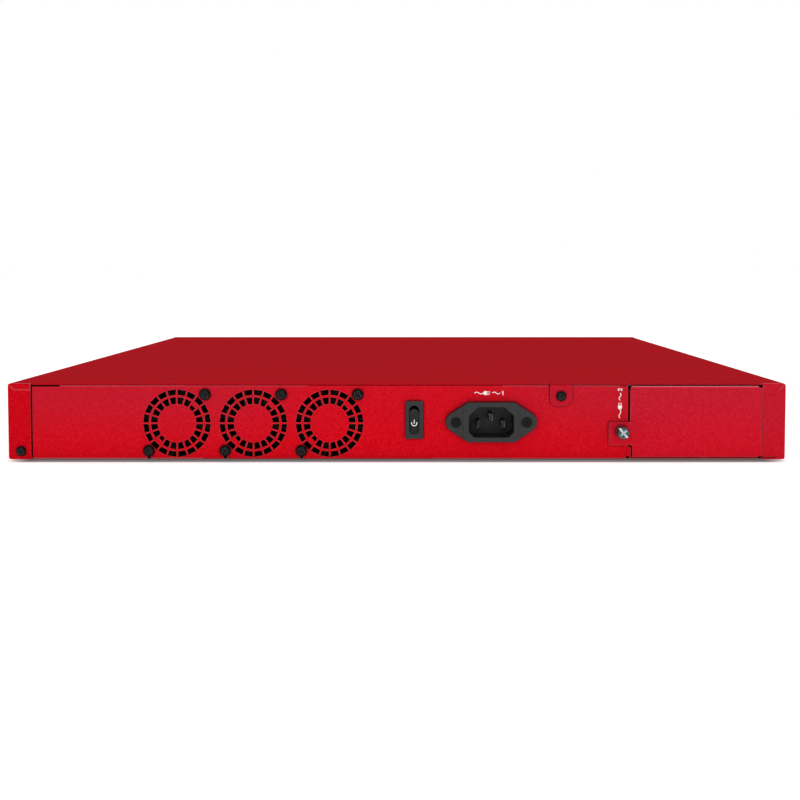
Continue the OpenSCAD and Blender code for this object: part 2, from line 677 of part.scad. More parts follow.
module supply_magnetics() color("khaki") {
    x = 72;
    y = -96;
    z = supply_deck + 1.6;
    bar([x - 16, y - 14, z], [x + 16, y + 14, z + 3]);
    difference() {
        bar([x - 17, y - 7, z + 3], [x + 17, y + 7, z + 24]);
        bar([x - 12, y - 8, z + 7], [x + 12, y + 8, z + 20]);
    }
    translate([x, y, z + 7]) difference() {
        bar([-11.5, -13, 0], [11.5, 13, 13]);
        bar([-8, -6.8, -1], [8, 6.8, 14]);
    }
    translate([98, -44, z]) rotate_extrude() translate([7, 5]) circle(4.2);
}

module supply_capacitors() color([0.12, 0.14, 0.2]) {
    z = supply_deck + 1.6;
    for (place = [[58, -136, 9, 26], [80, -136, 9, 26], [52, -60, 5, 20], [66, -60, 5, 20], [80, -60, 5, 20]])
        translate([place[0], place[1], z]) {
            cylinder(h = place[3] - 1, r = place[2]);
            translate([0, 0, place[3] - 1]) cylinder(h = 1, r1 = place[2], r2 = place[2] - 1);
        }
}

module dc_harness() {
    for (k = [-3.6, -1.2, 1.2, 3.6]) color(k > 0 ? "gold" : "black")
        tube_along([for (p = dc_route) p + [k * 0.75, 0, 0]], 0.95);
    color("ivory") difference() {
        bar([28, 28, deck_z], [40, 40, 19.5]);
        bar([30, 30, 18], [38, 38, 20]);
    }
    color("ivory") bar([64, -33, 10.5], [76, -28.5, 17.5]);
}

// ---- main board ----

module main_board() color("darkgreen") translate([0, 0, board_z]) linear_extrude(board_t) difference() {
    polygon(board_outline);
    for (h = board_holes) translate(h) circle(1.7);
}

module board_standoffs() color("goldenrod") for (h = board_holes) translate([h[0], h[1], floor_z])
    difference() {
        cylinder(h = standoff_h, r = 3, $fn = 6);
        translate([0, 0, standoff_h - 5]) cylinder(h = 6, r = 1.5);
    }

module board_screws() color("silver") for (h = board_holes) translate([h[0], h[1], deck_z])
    rotate([-90, 0, 0]) screw_y(2.8, 1.8, 1.45, 5);

module cpu_package() color("silver") {
    bar([-98, -68, deck_z], [-60, -30, deck_z + 3]);
}

module finned_block(size, base_h, fins, fin_t) {
    bar([0, 0, 0], [size[0], size[1], base_h]);
    step = (size[0] - fin_t) / (fins - 1);
    for (k = [0 : fins - 1]) bar([k * step, 0, base_h], [k * step + fin_t, size[1], size[2]]);
}

module cpu_heatsink() color("silver") translate([-124, -94, deck_z + 3]) difference() {
    finned_block([90, 90, 26], 5, 24, 0.9);
    for (x = [6, 84], y = [6, 84]) translate([x, y, -1]) cylinder(h = 40, r = 4.5);
    for (x = [6, 84], y = [6, 84]) bar([x - 6.5, y - 6.5, 2.5], [x + 6.5, y + 6.5, 30]);
}

module switch_heatsink() color([0.1, 0.1, 0.11]) {
    bar([-60, 122, deck_z], [-28, 154, deck_z + 2.2]);
    translate([-66, 116, deck_z + 2.2]) finned_block([44, 44, 14], 3, 11, 1.4);
}

module board_chips() color([0.08, 0.08, 0.09]) {
    for (p = [
        [20, 110, 22, 22, 1.4], [60, 130, 14, 14, 1.2], [100, 60, 18, 18, 1.3], [130, 100, 10, 16, 1.2],
        [-150, 40, 16, 16, 1.4], [-20, 60, 12, 12, 1.2], [150, 160, 12, 12, 1.2], [-90, 180, 20, 12, 2.5],
        [-15, 178, 44, 14, 2.6], [40, 178, 14, 10, 2]
    ]) bar([p[0], p[1], deck_z], [p[0] + p[2], p[1] + p[3], deck_z + p[4]]);
}

module board_capacitors() color([0.15, 0.16, 0.2]) {
    places = concat(
        [for (k = [0 : 6]) [-20, -94 + 13 * k]], [for (k = [0 : 4]) [40 + 12 * k, 50]],
        [for (k = [0 : 3]) [150, 60 + 12 * k]]
    );
    for (p = places) translate([p[0], p[1], deck_z]) {
        bar([-4.2, -4.2, 0], [4.2, 4.2, 1]);
        translate([0, 0, 1]) cylinder(h = 8, r = 4);
    }
}

module memory_sockets() color([0.1, 0.1, 0.11]) for (k = [0, 1])
    translate([-192 + 3 * k, -110 + 48 * k, deck_z]) {
        difference() {
            bar([0, 0, 0], [7, 42, 5.2 + 3 * k]);
            bar([3.5, 1.5, 2.6 + 3 * k], [8, 40.5, 3.9 + 3 * k]);
        }
        for (y = [0, 40.5]) bar([7, y, 0], [34, y + 1.5, 2.6 + 3 * k]);
    }

module memory_modules() color("seagreen") for (k = [0, 1])
    translate([-192 + 3 * k, -110 + 48 * k, deck_z + 3 * k]) {
        bar([3.6, 2, 2.7], [34, 40, 3.8]);
        for (y = [4, 16, 28]) bar([14, y, 3.8], [26, y + 9, 4.8]);
    }

module storage_module() color("seagreen") {
    translate([100, 20, deck_z]) {
        bar([-4, -1, 0], [0, 23, 4.2]);
        bar([0, 0, 2.4], [80, 22, 3.2]);
        bar([8, 3, 3.2], [26, 19, 4.6]);
        bar([34, 3, 3.2], [50, 19, 4.6]);
        bar([54, 3, 3.2], [70, 19, 4.6]);
        translate([78, 11, 0]) cylinder(h = 2.4, r = 2.4);
    }
}

module coin_cell() {
    color([0.1, 0.1, 0.11]) translate([170, 100, deck_z]) difference() {
        cylinder(h = 4.4, r = 12);
        translate([0, 0, 1.2]) cylinder(h = 4, r = 10.1);
    }
    color("silver") translate([170, 100, deck_z + 1.3]) cylinder(h = 3.2, r = 10);
}

// ---- front connectors and controls ----

port_w = 14;

module port_2d(latch_up) {
    square([11.8, 7.4], center = true);
    translate([0, latch_up ? 3.9 : -3.9]) square([6, 2.4], center = true);
    translate([0, latch_up ? 5 : -5]) square([3.4, 1.6], center = true);
}

module port_block() color("silver") {
    x0 = port_slot[0] - 0.2;
    x1 = port_slot[2] + 0.2;
    difference() {
        bar([x0, front_in_y - 26, deck_z], [x1, front_in_y - 0.2, deck_z + 26.8]);
        wall(front_in_y - 16, 20) for (k = [0 : 3]) {
            x = (x0 + x1) / 2 + (k - 1.5) * port_w;
            translate([x, deck_z + 7.6]) port_2d(false);
            translate([x, deck_z + 19.2]) port_2d(true);
        }
    }
}

module console_jack() color([0.12, 0.12, 0.13]) {
    x = (console_slot[0] + console_slot[2]) / 2;
    difference() {
        bar([x - 7.8, front_in_y - 18, deck_z], [x + 7.8, front_in_y - 0.2, deck_z + 13.2]);
        wall(front_in_y - 14, 16) translate([x, deck_z + 7.4]) port_2d(false);
    }
}

module usb_ports() color("silver")
    translate([(usb_slot[0] + usb_slot[2]) / 2, front_in_y, deck_z]) {
        difference() {
            bar([-7.2, -17, 0], [7.2, -0.2, 15.8]);
            for (z = [4.2, 11.6]) bar([-6.3, -15, z - 2.6], [6.3, 1, z + 2.6]);
        }
        for (z = [4.2, 11.6]) bar([-5.6, -15, z], [5.6, -4, z + 1.8]);
    }

module reset_button() color([0.15, 0.15, 0.16]) {
    rod(reset_at[0], front_in_y - 7, reset_at[1], 1.7, 7 + front_t - 0.3);
    rod(reset_at[0], front_in_y - 8, reset_at[1], 2.6, 3);
}

module reset_switch() color([0.2, 0.2, 0.22]) {
    bar([reset_at[0] - 3.2, front_in_y - 14, deck_z], [reset_at[0] + 3.2, front_in_y - 9.4, reset_at[1] + 3.2]);
}

module status_lights() color([0.7, 0.9, 0.75]) for (x = lamp_x) {
    rod(x, front_in_y - 8, lamp_z, 1.55, 8 + front_t + 0.3);
    bar([x - 1.6, front_in_y - 12, deck_z], [x + 1.6, front_in_y - 8, lamp_z + 1.6]);
}

expansion_screw_z = 22.7;
expansion_plate_y = front_y + 0.1;
expansion_plate_t = 1.2;
expansion_screw_x = [expansion_slot[0] - 5, expansion_slot[2] + 5];

module expansion_cover() color("crimson") difference() {
    union() {
        wall(expansion_plate_y, expansion_plate_t) frame_2d([
            expansion_slot[0] - 9, expansion_slot[1] - 2, expansion_slot[2] + 9, expansion_slot[3] + 2
        ]);
        for (z = [expansion_slot[1] + 1, expansion_slot[3] - 2])
            bar([expansion_slot[0] + 2, front_y - 8, z],
                [expansion_slot[2] - 2, expansion_plate_y + 0.2, z + 1]);
    }
    for (x = expansion_screw_x) rod(x, front_y - 1, expansion_screw_z, captive_bore_r, 4);
}

module expansion_washer(x) color("gainsboro")
    translate([x, expansion_plate_y + expansion_plate_t + 0.1, expansion_screw_z])
        rotate([-90, 0, 0]) difference() {
            cylinder(h = washer_t, r = 3.9);
            translate([0, 0, -1]) cylinder(h = washer_t + 2, r = captive_shank_r + 0.1);
        }

module expansion_screw(x) color("silver")
    translate([x, expansion_plate_y + expansion_plate_t + washer_t + 0.2, expansion_screw_z])
    rotate([0, 0, 180]) difference() {
        union() {
            rotate([90, 0, 0]) cylinder(h = 7.2, r = 3.6);
            translate([0, -7.2, 0]) rotate([90, 0, 0]) cylinder(h = 0.6, r1 = 3.6, r2 = 3);
            rod(0, -0.5, 0, captive_shank_r, 6.5);
        }
        for (a = [0, 90]) rotate([0, a, 0]) translate([0, -8, 0]) cube([4, 2.6, 0.9], center = true);
    }

module expansion_rails() color("lightsteelblue") for (s = [-1, 1]) {
    x = s > 0 ? expansion_slot[2] + 1 : expansion_slot[0] - 2;
    bar([x, 110, floor_z], [x + 1, front_in_y - 8, 38]);
    for (z = [9, 20]) bar([s > 0 ? x - 3.5 : x + 1, 110, z], [s > 0 ? x : x + 4.5, front_in_y - 8, z + 1]);
}

// ---- one node at a time, or the whole appliance ----

base_pan();
rear_panel();
front_panel();
rubber_feet();
rack_nuts();
top_cover();
cover_screws();
bay_cover();
captive_ferrule();
captive_washer();
captive_screw();
bay_cage();
bay_connector();
fan_frame(fan_x[0]);  // fan_1_frame
fan_frame(fan_x[1]);  // fan_2_frame
fan_frame(fan_x[2]);  // fan_3_frame
fan_rotor(fan_x[0]);  // fan_1_rotor
fan_rotor(fan_x[1]);  // fan_2_rotor
fan_rotor(fan_x[2]);  // fan_3_rotor
fan_stators();
fan_bearings();
fan_screws();
fan_leads();
inlet_housing();
inlet_pins();
inlet_screws();
switch_housing();
switch_rocker();
switch_terminals();
ac_leads();
supply_tray();
supply_board();
supply_heatsinks();
supply_magnetics();
supply_capacitors();
dc_harness();
main_board();
board_standoffs();
board_screws();
cpu_package();
cpu_heatsink();
switch_heatsink();
board_chips();
board_capacitors();
memory_sockets();
memory_modules();
storage_module();
coin_cell();
port_block();
console_jack();
usb_ports();
reset_button();
reset_switch();
status_lights();
expansion_cover();
expansion_washer(expansion_screw_x[0]);  // expansion_washer_left
expansion_washer(expansion_screw_x[1]);  // expansion_washer_right
expansion_screw(expansion_screw_x[0]);  // expansion_screw_left
expansion_screw(expansion_screw_x[1]);  // expansion_screw_right
expansion_rails();
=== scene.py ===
"""Looks for the one-unit rack appliance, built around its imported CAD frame.

Metres, in the CAD model's frame: +X right, +Y from the rear panel to the front panel, +Z up.
The feet stand on z = 0.
The camera stands behind the appliance and sees its rear panel, so the rear faces -Y.
"""

import math
import random

import bmesh
import bpy
from mathutils import Matrix, Vector
from mathutils.bvhtree import BVHTree


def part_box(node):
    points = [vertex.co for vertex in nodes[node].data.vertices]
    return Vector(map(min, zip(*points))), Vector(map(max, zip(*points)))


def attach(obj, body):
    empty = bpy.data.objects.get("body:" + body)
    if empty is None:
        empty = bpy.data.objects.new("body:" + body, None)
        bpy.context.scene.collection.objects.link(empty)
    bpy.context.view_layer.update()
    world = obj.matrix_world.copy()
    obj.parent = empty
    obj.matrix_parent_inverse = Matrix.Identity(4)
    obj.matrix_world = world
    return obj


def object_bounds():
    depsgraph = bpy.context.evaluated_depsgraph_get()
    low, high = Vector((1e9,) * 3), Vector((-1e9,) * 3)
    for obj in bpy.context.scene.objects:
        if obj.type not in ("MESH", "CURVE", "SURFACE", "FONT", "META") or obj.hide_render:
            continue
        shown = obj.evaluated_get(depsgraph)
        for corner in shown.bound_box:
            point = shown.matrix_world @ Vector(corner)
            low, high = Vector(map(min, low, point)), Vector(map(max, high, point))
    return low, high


MM = 0.001
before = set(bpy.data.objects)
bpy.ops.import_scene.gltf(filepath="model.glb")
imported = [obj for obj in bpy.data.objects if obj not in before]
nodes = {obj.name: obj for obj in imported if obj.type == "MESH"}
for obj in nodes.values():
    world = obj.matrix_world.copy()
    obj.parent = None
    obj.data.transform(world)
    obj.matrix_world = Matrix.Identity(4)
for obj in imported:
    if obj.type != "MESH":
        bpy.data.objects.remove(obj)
cad_low, cad_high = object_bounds()

cover_low, cover_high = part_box("top_cover")
REAR_Y = cover_low.y
TOP_Z = cover_high.z
PANEL_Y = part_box("rear_panel")[0].y
DECK_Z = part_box("main_board")[1].z


# ---- camera and stage ----


def add_camera():
    data = bpy.data.cameras.new("camera")
    data.sensor_width = 36
    data.lens = 52.3
    data.shift_x = -0.0178
    data.shift_y = -0.088
    data.clip_start = 0.01
    data.clip_end = 50
    camera = bpy.data.objects.new("camera", data)
    camera.location = (9.9 * MM, REAR_Y - 654.6 * MM, 108 * MM)
    camera.rotation_euler = (math.radians(90 - 2.9), 0, 0)
    bpy.context.scene.collection.objects.link(camera)
    bpy.context.scene.camera = camera


def add_area(name, place, aim, width, height, power):
    data = bpy.data.lights.new(name, "AREA")
    data.shape = "RECTANGLE"
    data.size = width
    data.size_y = height
    data.energy = power
    lamp = bpy.data.objects.new(name, data)
    lamp.location = place
    lamp.rotation_euler = (Vector(aim) - Vector(place)).to_track_quat("-Z", "Y").to_euler()
    bpy.context.scene.collection.objects.link(lamp)


def add_world():
    """White to the camera and a softer white for lighting. Mirrored, it is a dim room with a dark far end."""
    world = bpy.data.worlds.new("studio")
    bpy.context.scene.world = world
    world.use_nodes = True
    tree = world.node_tree
    tree.nodes.clear()
    output = tree.nodes.new("ShaderNodeOutputWorld")
    path = tree.nodes.new("ShaderNodeLightPath")
    shades = []
    for strength in (1.0, 0.70, 1.0):
        shade = tree.nodes.new("ShaderNodeBackground")
        shade.inputs["Color"].default_value = (1, 1, 1, 1)
        shade.inputs["Strength"].default_value = strength
        shades.append(shade)
    seen, lit, mirrored = shades
    coords = tree.nodes.new("ShaderNodeTexCoord")
    split = tree.nodes.new("ShaderNodeSeparateXYZ")
    tree.links.new(coords.outputs["Generated"], split.inputs[0])
    ramp = tree.nodes.new("ShaderNodeValToRGB")
    ramp.color_ramp.elements[0].position = 0.0
    ramp.color_ramp.elements[0].color = (0.02, 0.02, 0.02, 1)
    ramp.color_ramp.elements[1].position = 1.0
    ramp.color_ramp.elements[1].color = (0.62, 0.65, 0.68, 1)
    low = ramp.color_ramp.elements.new(0.3)
    low.color = (0.03, 0.03, 0.032, 1)
    tree.links.new(split.outputs[2], ramp.inputs["Fac"])
    tree.links.new(ramp.outputs["Color"], mirrored.inputs["Color"])
    glossy = tree.nodes.new("ShaderNodeMixShader")
    camera = tree.nodes.new("ShaderNodeMixShader")
    tree.links.new(path.outputs["Is Glossy Ray"], glossy.inputs[0])
    tree.links.new(lit.outputs[0], glossy.inputs[1])
    tree.links.new(mirrored.outputs[0], glossy.inputs[2])
    tree.links.new(path.outputs["Is Camera Ray"], camera.inputs[0])
    tree.links.new(glossy.outputs[0], camera.inputs[1])
    tree.links.new(seen.outputs[0], camera.inputs[2])
    tree.links.new(camera.outputs[0], output.inputs["Surface"])


def add_floor():
    """A white sweep that glows a little, with painted shade: dim where the appliance stands and black deep
    under it.
    """
    mesh = bpy.data.meshes.new("floor")
    reach = 8
    corners = [(-reach, -reach, 0), (reach, -reach, 0), (reach, reach, 0), (-reach, reach, 0)]
    mesh.from_pydata(corners, [], [(0, 1, 2, 3)])
    floor = bpy.data.objects.new("floor", mesh)
    bpy.context.scene.collection.objects.link(floor)
    mat = bpy.data.materials.new("floor")
    mat.use_nodes = True
    tree = mat.node_tree
    shader = tree.nodes["Principled BSDF"]
    coords = tree.nodes.new("ShaderNodeTexCoord")
    split = tree.nodes.new("ShaderNodeSeparateXYZ")
    tree.links.new(coords.outputs["Object"], split.inputs[0])

    def multiply(first, second):
        node = tree.nodes.new("ShaderNodeMath")
        node.operation = "MULTIPLY"
        tree.links.new(first, node.inputs[0])
        tree.links.new(second, node.inputs[1])
        return node.outputs[0]

    def ranged(mask, low, high):
        """Maps a mask's 0..1 to low..high."""
        node = tree.nodes.new("ShaderNodeMapRange")
        node.inputs["To Min"].default_value = low
        node.inputs["To Max"].default_value = high
        tree.links.new(mask, node.inputs["Value"])
        return node.outputs["Result"]

    def within(spans):
        """1 inside a rectangle, else 0. A span is an axis, where the fade starts and where it ends."""
        result = None
        for axis, full, gone in spans:
            size = tree.nodes.new("ShaderNodeMath")
            size.operation = "ABSOLUTE"
            tree.links.new(split.outputs[axis], size.inputs[0])
            fade = tree.nodes.new("ShaderNodeMapRange")
            fade.interpolation_type = "SMOOTHSTEP"
            fade.inputs["From Min"].default_value = gone
            fade.inputs["From Max"].default_value = full
            tree.links.new(size.outputs[0], fade.inputs["Value"])
            faded = fade.outputs["Result"]
            result = faded if result is None else multiply(result, faded)
        return result

    half_x, half_y = cad_high.x, -REAR_Y
    # Painted shadow: colour and glow drop to dim grey around the appliance's footprint and to black deep
    # under it.
    shade = within(((0, half_x - 12 * MM, half_x + 5 * MM), (1, half_y + 2.2 * MM, half_y + 4.4 * MM)))
    deep = within(((0, half_x - 4 * MM, half_x), (1, half_y - 12 * MM, half_y - 8.5 * MM)))
    tone = None
    for mask, colour in ((shade, (0.36, 0.43, 0.42, 1)), (deep, (0.01, 0.01, 0.01, 1))):
        layer = tree.nodes.new("ShaderNodeMix")
        layer.data_type = "RGBA"
        layer.inputs[6].default_value = (0.92, 0.92, 0.92, 1)
        layer.inputs[7].default_value = colour
        tree.links.new(mask, layer.inputs[0])
        if tone is not None:
            tree.links.new(tone, layer.inputs[6])
        tone = layer.outputs[2]
    tree.links.new(tone, shader.inputs["Base Color"])
    glow = multiply(ranged(shade, 0.56, 0.10), ranged(deep, 1, 0))
    tree.links.new(glow, shader.inputs["Emission Strength"])
    shader.inputs["Roughness"].default_value = 0.7
    shader.inputs["Specular IOR Level"].default_value = 0.1
    shader.inputs["Emission Color"].default_value = (1, 1, 1, 1)
    floor.data.materials.append(mat)


add_camera()
bpy.context.scene.view_settings.view_transform = "Standard"
add_world()
add_floor()
add_area("key", (-0.35, REAR_Y - 1.6, 0.95), (0, REAR_Y, 0.03), width=1.3, height=0.7, power=4.3)
add_area("fill", (0.9, REAR_Y - 1.5, 0.35), (0.1, REAR_Y, 0.03), width=0.9, height=0.5, power=1.5)


# ---- materials ----


class Surface:
    """One material and the nodes that build it."""

    def __init__(self, name):
        self.mat = bpy.data.materials.new(name)
        self.mat.use_nodes = True
        self.tree = self.mat.node_tree
        self.shader = self.tree.nodes["Principled BSDF"]
        self.coords = self.node("ShaderNodeTexCoord").outputs["Object"]
        self.height = None

    def node(self, kind, **fields):
        node = self.tree.nodes.new(kind)
        for key, value in fields.items():
            setattr(node, key, value)
        return node

    def link(self, source, target):
        self.tree.links.new(source, target)

    def set(self, **sockets):
        for key, value in sockets.items():
            self.shader.inputs[key.replace("_", " ")].default_value = value

    def math(self, operation, first, second=0.0, clamp=False):
        node = self.node("ShaderNodeMath", operation=operation, use_clamp=clamp)
        for socket, value in zip(node.inputs, (first, second)):
            if isinstance(value, (int, float)):
                socket.default_value = value
            else:
                self.link(value, socket)
        return node.outputs[0]

    def noise(self, grain, detail=3.0, stretch=(1, 1, 1), seed=0.0):
        """Noise whose lumps are about grain metres across."""
        mapping = self.node("ShaderNodeMapping")
        mapping.inputs["Scale"].default_value = tuple(s / grain for s in stretch)
        mapping.inputs["Location"].default_value = (seed, seed * 1.7, seed * 0.6)
        self.link(self.coords, mapping.inputs["Vector"])
        node = self.node("ShaderNodeTexNoise")
        node.inputs["Scale"].default_value = 1
        node.inputs["Detail"].default_value = detail
        node.inputs["Roughness"].default_value = 0.55
        self.link(mapping.outputs[0], node.inputs["Vector"])
        return node.outputs["Fac"]

    def cells(self, grain, output="Distance", seed=0.0):
        """Cells about grain metres across."""
        mapping = self.node("ShaderNodeMapping")
        mapping.inputs["Scale"].default_value = (1 / grain,) * 3
        mapping.inputs["Location"].default_value = (seed, seed * 1.3, seed * 0.7)
        self.link(self.coords, mapping.inputs["Vector"])
        node = self.node("ShaderNodeTexVoronoi")
        node.inputs["Scale"].default_value = 1
        self.link(mapping.outputs[0], node.inputs["Vector"])
        return node.outputs[output]

    def ramp(self, factor, stops):
        node = self.node("ShaderNodeValToRGB")
        ramp = node.color_ramp
        while len(ramp.elements) < len(stops):
            ramp.elements.new(0.5)
        for element, (place, colour) in zip(ramp.elements, stops):
            element.position = place
            element.color = (*colour, 1)
        self.link(factor, node.inputs["Fac"])
        return node.outputs["Color"]

    def range(self, value, low, high):
        """Maps 0..1 to low..high."""
        node = self.node("ShaderNodeMapRange")
        node.inputs["To Min"].default_value = low
        node.inputs["To Max"].default_value = high
        self.link(value, node.inputs["Value"])
        return node.outputs["Result"]

    def mix(self, factor, first, second):
        node = self.node("ShaderNodeMix", data_type="RGBA")
        sockets = (node.inputs[0], node.inputs[6], node.inputs[7])
        for socket, value in zip(sockets, (factor, first, second)):
            if isinstance(value, tuple):
                socket.default_value = (*value, 1)
            elif isinstance(value, (int, float)):
                socket.default_value = value
            else:
                self.link(value, socket)
        return node.outputs[2]

    def blend(self, kind, colour, factor, other):
        """Multiplies a colour by other, or adds other to it, by factor."""
        node = self.node("ShaderNodeMix", data_type="RGBA", blend_type=kind)
        self.link(factor, node.inputs[0])
        self.link(colour, node.inputs[6])
        node.inputs[7].default_value = (*other, 1)
        return node.outputs[2]

    def painted_height_shade(self, low, high, middle):
        """Painted shade on an upright face: a mask from low at its foot to high at its top, scaled by middle
        near x = 0.
        """
        split = self.node("ShaderNodeSeparateXYZ")
        self.link(self.coords, split.inputs[0])
        rise = self.node("ShaderNodeMapRange", interpolation_type="SMOOTHSTEP")
        rise.inputs["From Max"].default_value = 44 * MM
        rise.inputs["To Min"].default_value = low
        rise.inputs["To Max"].default_value = high
        self.link(split.outputs[2], rise.inputs["Value"])
        aside = self.node("ShaderNodeMapRange", interpolation_type="SMOOTHSTEP")
        aside.inputs["From Min"].default_value = 30 * MM
        aside.inputs["From Max"].default_value = 110 * MM
        aside.inputs["To Min"].default_value = middle
        self.link(self.math("ABSOLUTE", split.outputs[0]), aside.inputs["Value"])
        return self.math("MULTIPLY", rise.outputs["Result"], aside.outputs["Result"])

    def bump(self, height, depth, strength=1.0):
        """Adds relief of about depth metres, on top of any relief added before."""
        node = self.node("ShaderNodeBump")
        node.inputs["Strength"].default_value = strength
        node.inputs["Distance"].default_value = depth
        self.link(height, node.inputs["Height"])
        if self.height is not None:
            self.link(self.height, node.inputs["Normal"])
        self.height = node.outputs["Normal"]
        self.link(self.height, self.shader.inputs["Normal"])

    def colour(self, source):
        self.link(source, self.shader.inputs["Base Color"])

    def rough(self, source):
        self.link(source, self.shader.inputs["Roughness"])

    def inside(self, low, high):
        """1 within an upright box given by two corners, else 0."""
        split = self.node("ShaderNodeSeparateXYZ")
        self.link(self.coords, split.inputs[0])
        result = None
        for axis in range(3):
            for edge, operation in ((low[axis], "GREATER_THAN"), (high[axis], "LESS_THAN")):
                test = self.math(operation, split.outputs[axis], edge)
                result = test if result is None else self.math("MULTIPLY", result, test)
        return result

    def shaded_recess(self, distance):
        """Towards 0 in narrow recesses, 1 in the open."""
        node = self.node("ShaderNodeAmbientOcclusion", samples=6)
        node.inputs["Distance"].default_value = distance
        return node.outputs["AO"]

    def edge_wear_and_highlight(self, radius=0.4 * MM):
        """0 on flat stretches, towards 1 at edges and corners; used both for worn edges and for painted edge
        highlights.
        """
        bevel = self.node("ShaderNodeBevel", samples=4)
        bevel.inputs["Radius"].default_value = radius
        geometry = self.node("ShaderNodeNewGeometry")
        dot = self.node("ShaderNodeVectorMath", operation="DOT_PRODUCT")
        self.link(bevel.outputs[0], dot.inputs[0])
        self.link(geometry.outputs["Normal"], dot.inputs[1])
        return self.math("MULTIPLY", self.math("SUBTRACT", 1.0, dot.outputs["Value"]), 3.0, clamp=True)


def powder_coat(name, base, edge_glint=0.5, highlight_boxes=(), painted_zones=(), painted_height_shade=None, height_shade_box=None):
    """Fine orange peel, with a painted highlight along bends and edges, painted shade in seams and narrow
    recesses, and painted shade by height that dulls and greys the red higher up.
    """
    s = Surface(name)
    dark = tuple(c * 0.86 for c in base)
    light = tuple(min(1.0, c * 1.12 + 0.006) for c in base)
    speckle = s.noise(0.9 * MM, detail=2)
    cloud = s.noise(55 * MM, detail=1, seed=3)
    tone = s.ramp(speckle, [(0.32, dark), (0.5, base), (0.68, light)])
    drift = s.mix(s.range(cloud, 0.0, 0.35), tone, (base[0] * 1.02, base[1] * 0.4, base[2] * 0.6))
    # Painted shade by height: the red dulls and greys where the height mask is high, higher up the appliance.
    if painted_height_shade:
        height_shade = s.math("MULTIPLY", s.painted_height_shade(*painted_height_shade), s.inside(*height_shade_box)) if height_shade_box else s.painted_height_shade(*painted_height_shade)
        drift = s.blend("MULTIPLY", drift, height_shade, (0.83, 1.0, 1.0))
        drift = s.blend("ADD", drift, height_shade, (0.0, 0.0068, 0.0125))
    # Painted highlight: edges turn light pink by edge_glint, and fully within the highlight boxes.
    glint = edge_glint
    for box in highlight_boxes:
        glint = s.math("ADD", s.math("MULTIPLY", s.inside(*box), 0.9), glint, clamp=True)
    coat = s.mix(s.math("MULTIPLY", s.edge_wear_and_highlight(0.35 * MM), glint), drift, (0.92, 0.32, 0.36))
    # Painted highlights and painted shade laid over boxes of the sheet.
    for box, depth, tint in painted_zones:
        coat = s.mix(s.math("MULTIPLY", s.inside(*box), depth), coat, tint)
    # Painted shade: seams and narrow recesses darken to near black.
    painted_seam_shade = s.math("MULTIPLY", s.math("SUBTRACT", 0.86, s.shaded_recess(1.3 * MM)), 2.6, clamp=True)
    s.colour(s.mix(painted_seam_shade, coat, (0.06, 0.002, 0.003)))
    s.rough(s.range(s.noise(1.6 * MM, seed=5), 0.42, 0.58))
    s.set(Specular_IOR_Level=0.015)
    s.bump(s.noise(0.55 * MM, detail=2, seed=1), 0.05 * MM, 0.5)
    s.bump(s.noise(2.4 * MM, detail=1, seed=2), 0.05 * MM, 0.3)
    return s.mat


def plated_steel(name, light, dark, base_rough=0.26):
    s = Surface(name)
    stain = s.noise(1.2 * MM, detail=4)
    s.colour(s.mix(s.range(stain, 0.0, 0.7), light, dark))
    s.rough(s.range(s.noise(0.5 * MM, seed=4), base_rough, base_rough + 0.14))
    s.set(Metallic=1.0)
    s.bump(s.noise(0.25 * MM, detail=2, stretch=(1, 1, 6), seed=2), 0.01 * MM, 0.4)
    return s.mat


def screw_metal(name, light, dark, recess, face_box):
    """Plated metal, stained on its faces, with a painted highlight in the driver recess in face_box and a
    painted highlight on the rim.
    """
    s = Surface(name)
    stain = s.mix(s.range(s.noise(1.1 * MM, detail=3), -0.4, 1.4), light, dark)
    # Painted highlight: the shaded driver recess inside face_box takes the light recess colour and turns less
    # metallic.
    recess_highlight_mask = s.math("MULTIPLY", s.math("SUBTRACT", 0.93, s.shaded_recess(1.2 * MM)), 4.0, clamp=True)
    recess_highlight_mask = s.math("MULTIPLY", recess_highlight_mask, s.inside(*face_box))
    # Painted highlight: the edges of the head turn bright.
    painted_rim_highlight = s.math("MULTIPLY", s.edge_wear_and_highlight(0.3 * MM), 0.85)
    s.colour(s.mix(painted_rim_highlight, s.mix(recess_highlight_mask, stain, recess), (0.9, 0.93, 0.95)))
    s.rough(s.range(s.noise(0.4 * MM, seed=4), 0.14, 0.32))
    s.link(s.range(recess_highlight_mask, 1.0, 0.15), s.shader.inputs["Metallic"])
    s.bump(s.noise(0.3 * MM, detail=2, seed=2), 0.02 * MM, 0.5)
    return s.mat


def pin_metal():
    """Blades painted near black, a painted reflection of the dark cavity, with painted highlights in patches
    at the corners of their tips.
    """
    s = Surface("inlet_pin_metal")
    blotch = s.noise(1.3 * MM, detail=2, seed=1)
    # Painted highlight: light, less metallic patches along the edges.
    painted_tip_highlight = s.math("MULTIPLY", s.edge_wear_and_highlight(0.5 * MM), s.math("GREATER_THAN", blotch, 0.5))
    s.colour(s.mix(painted_tip_highlight, (0.02, 0.02, 0.021), (0.9, 0.9, 0.9)))
    s.rough(s.range(s.noise(0.4 * MM, seed=4), 0.2, 0.36))
    s.link(s.range(painted_tip_highlight, 0.8, 0.1), s.shader.inputs["Metallic"])
    s.bump(s.noise(0.5 * MM, seed=2), 0.02 * MM, 0.4)
    return s.mat


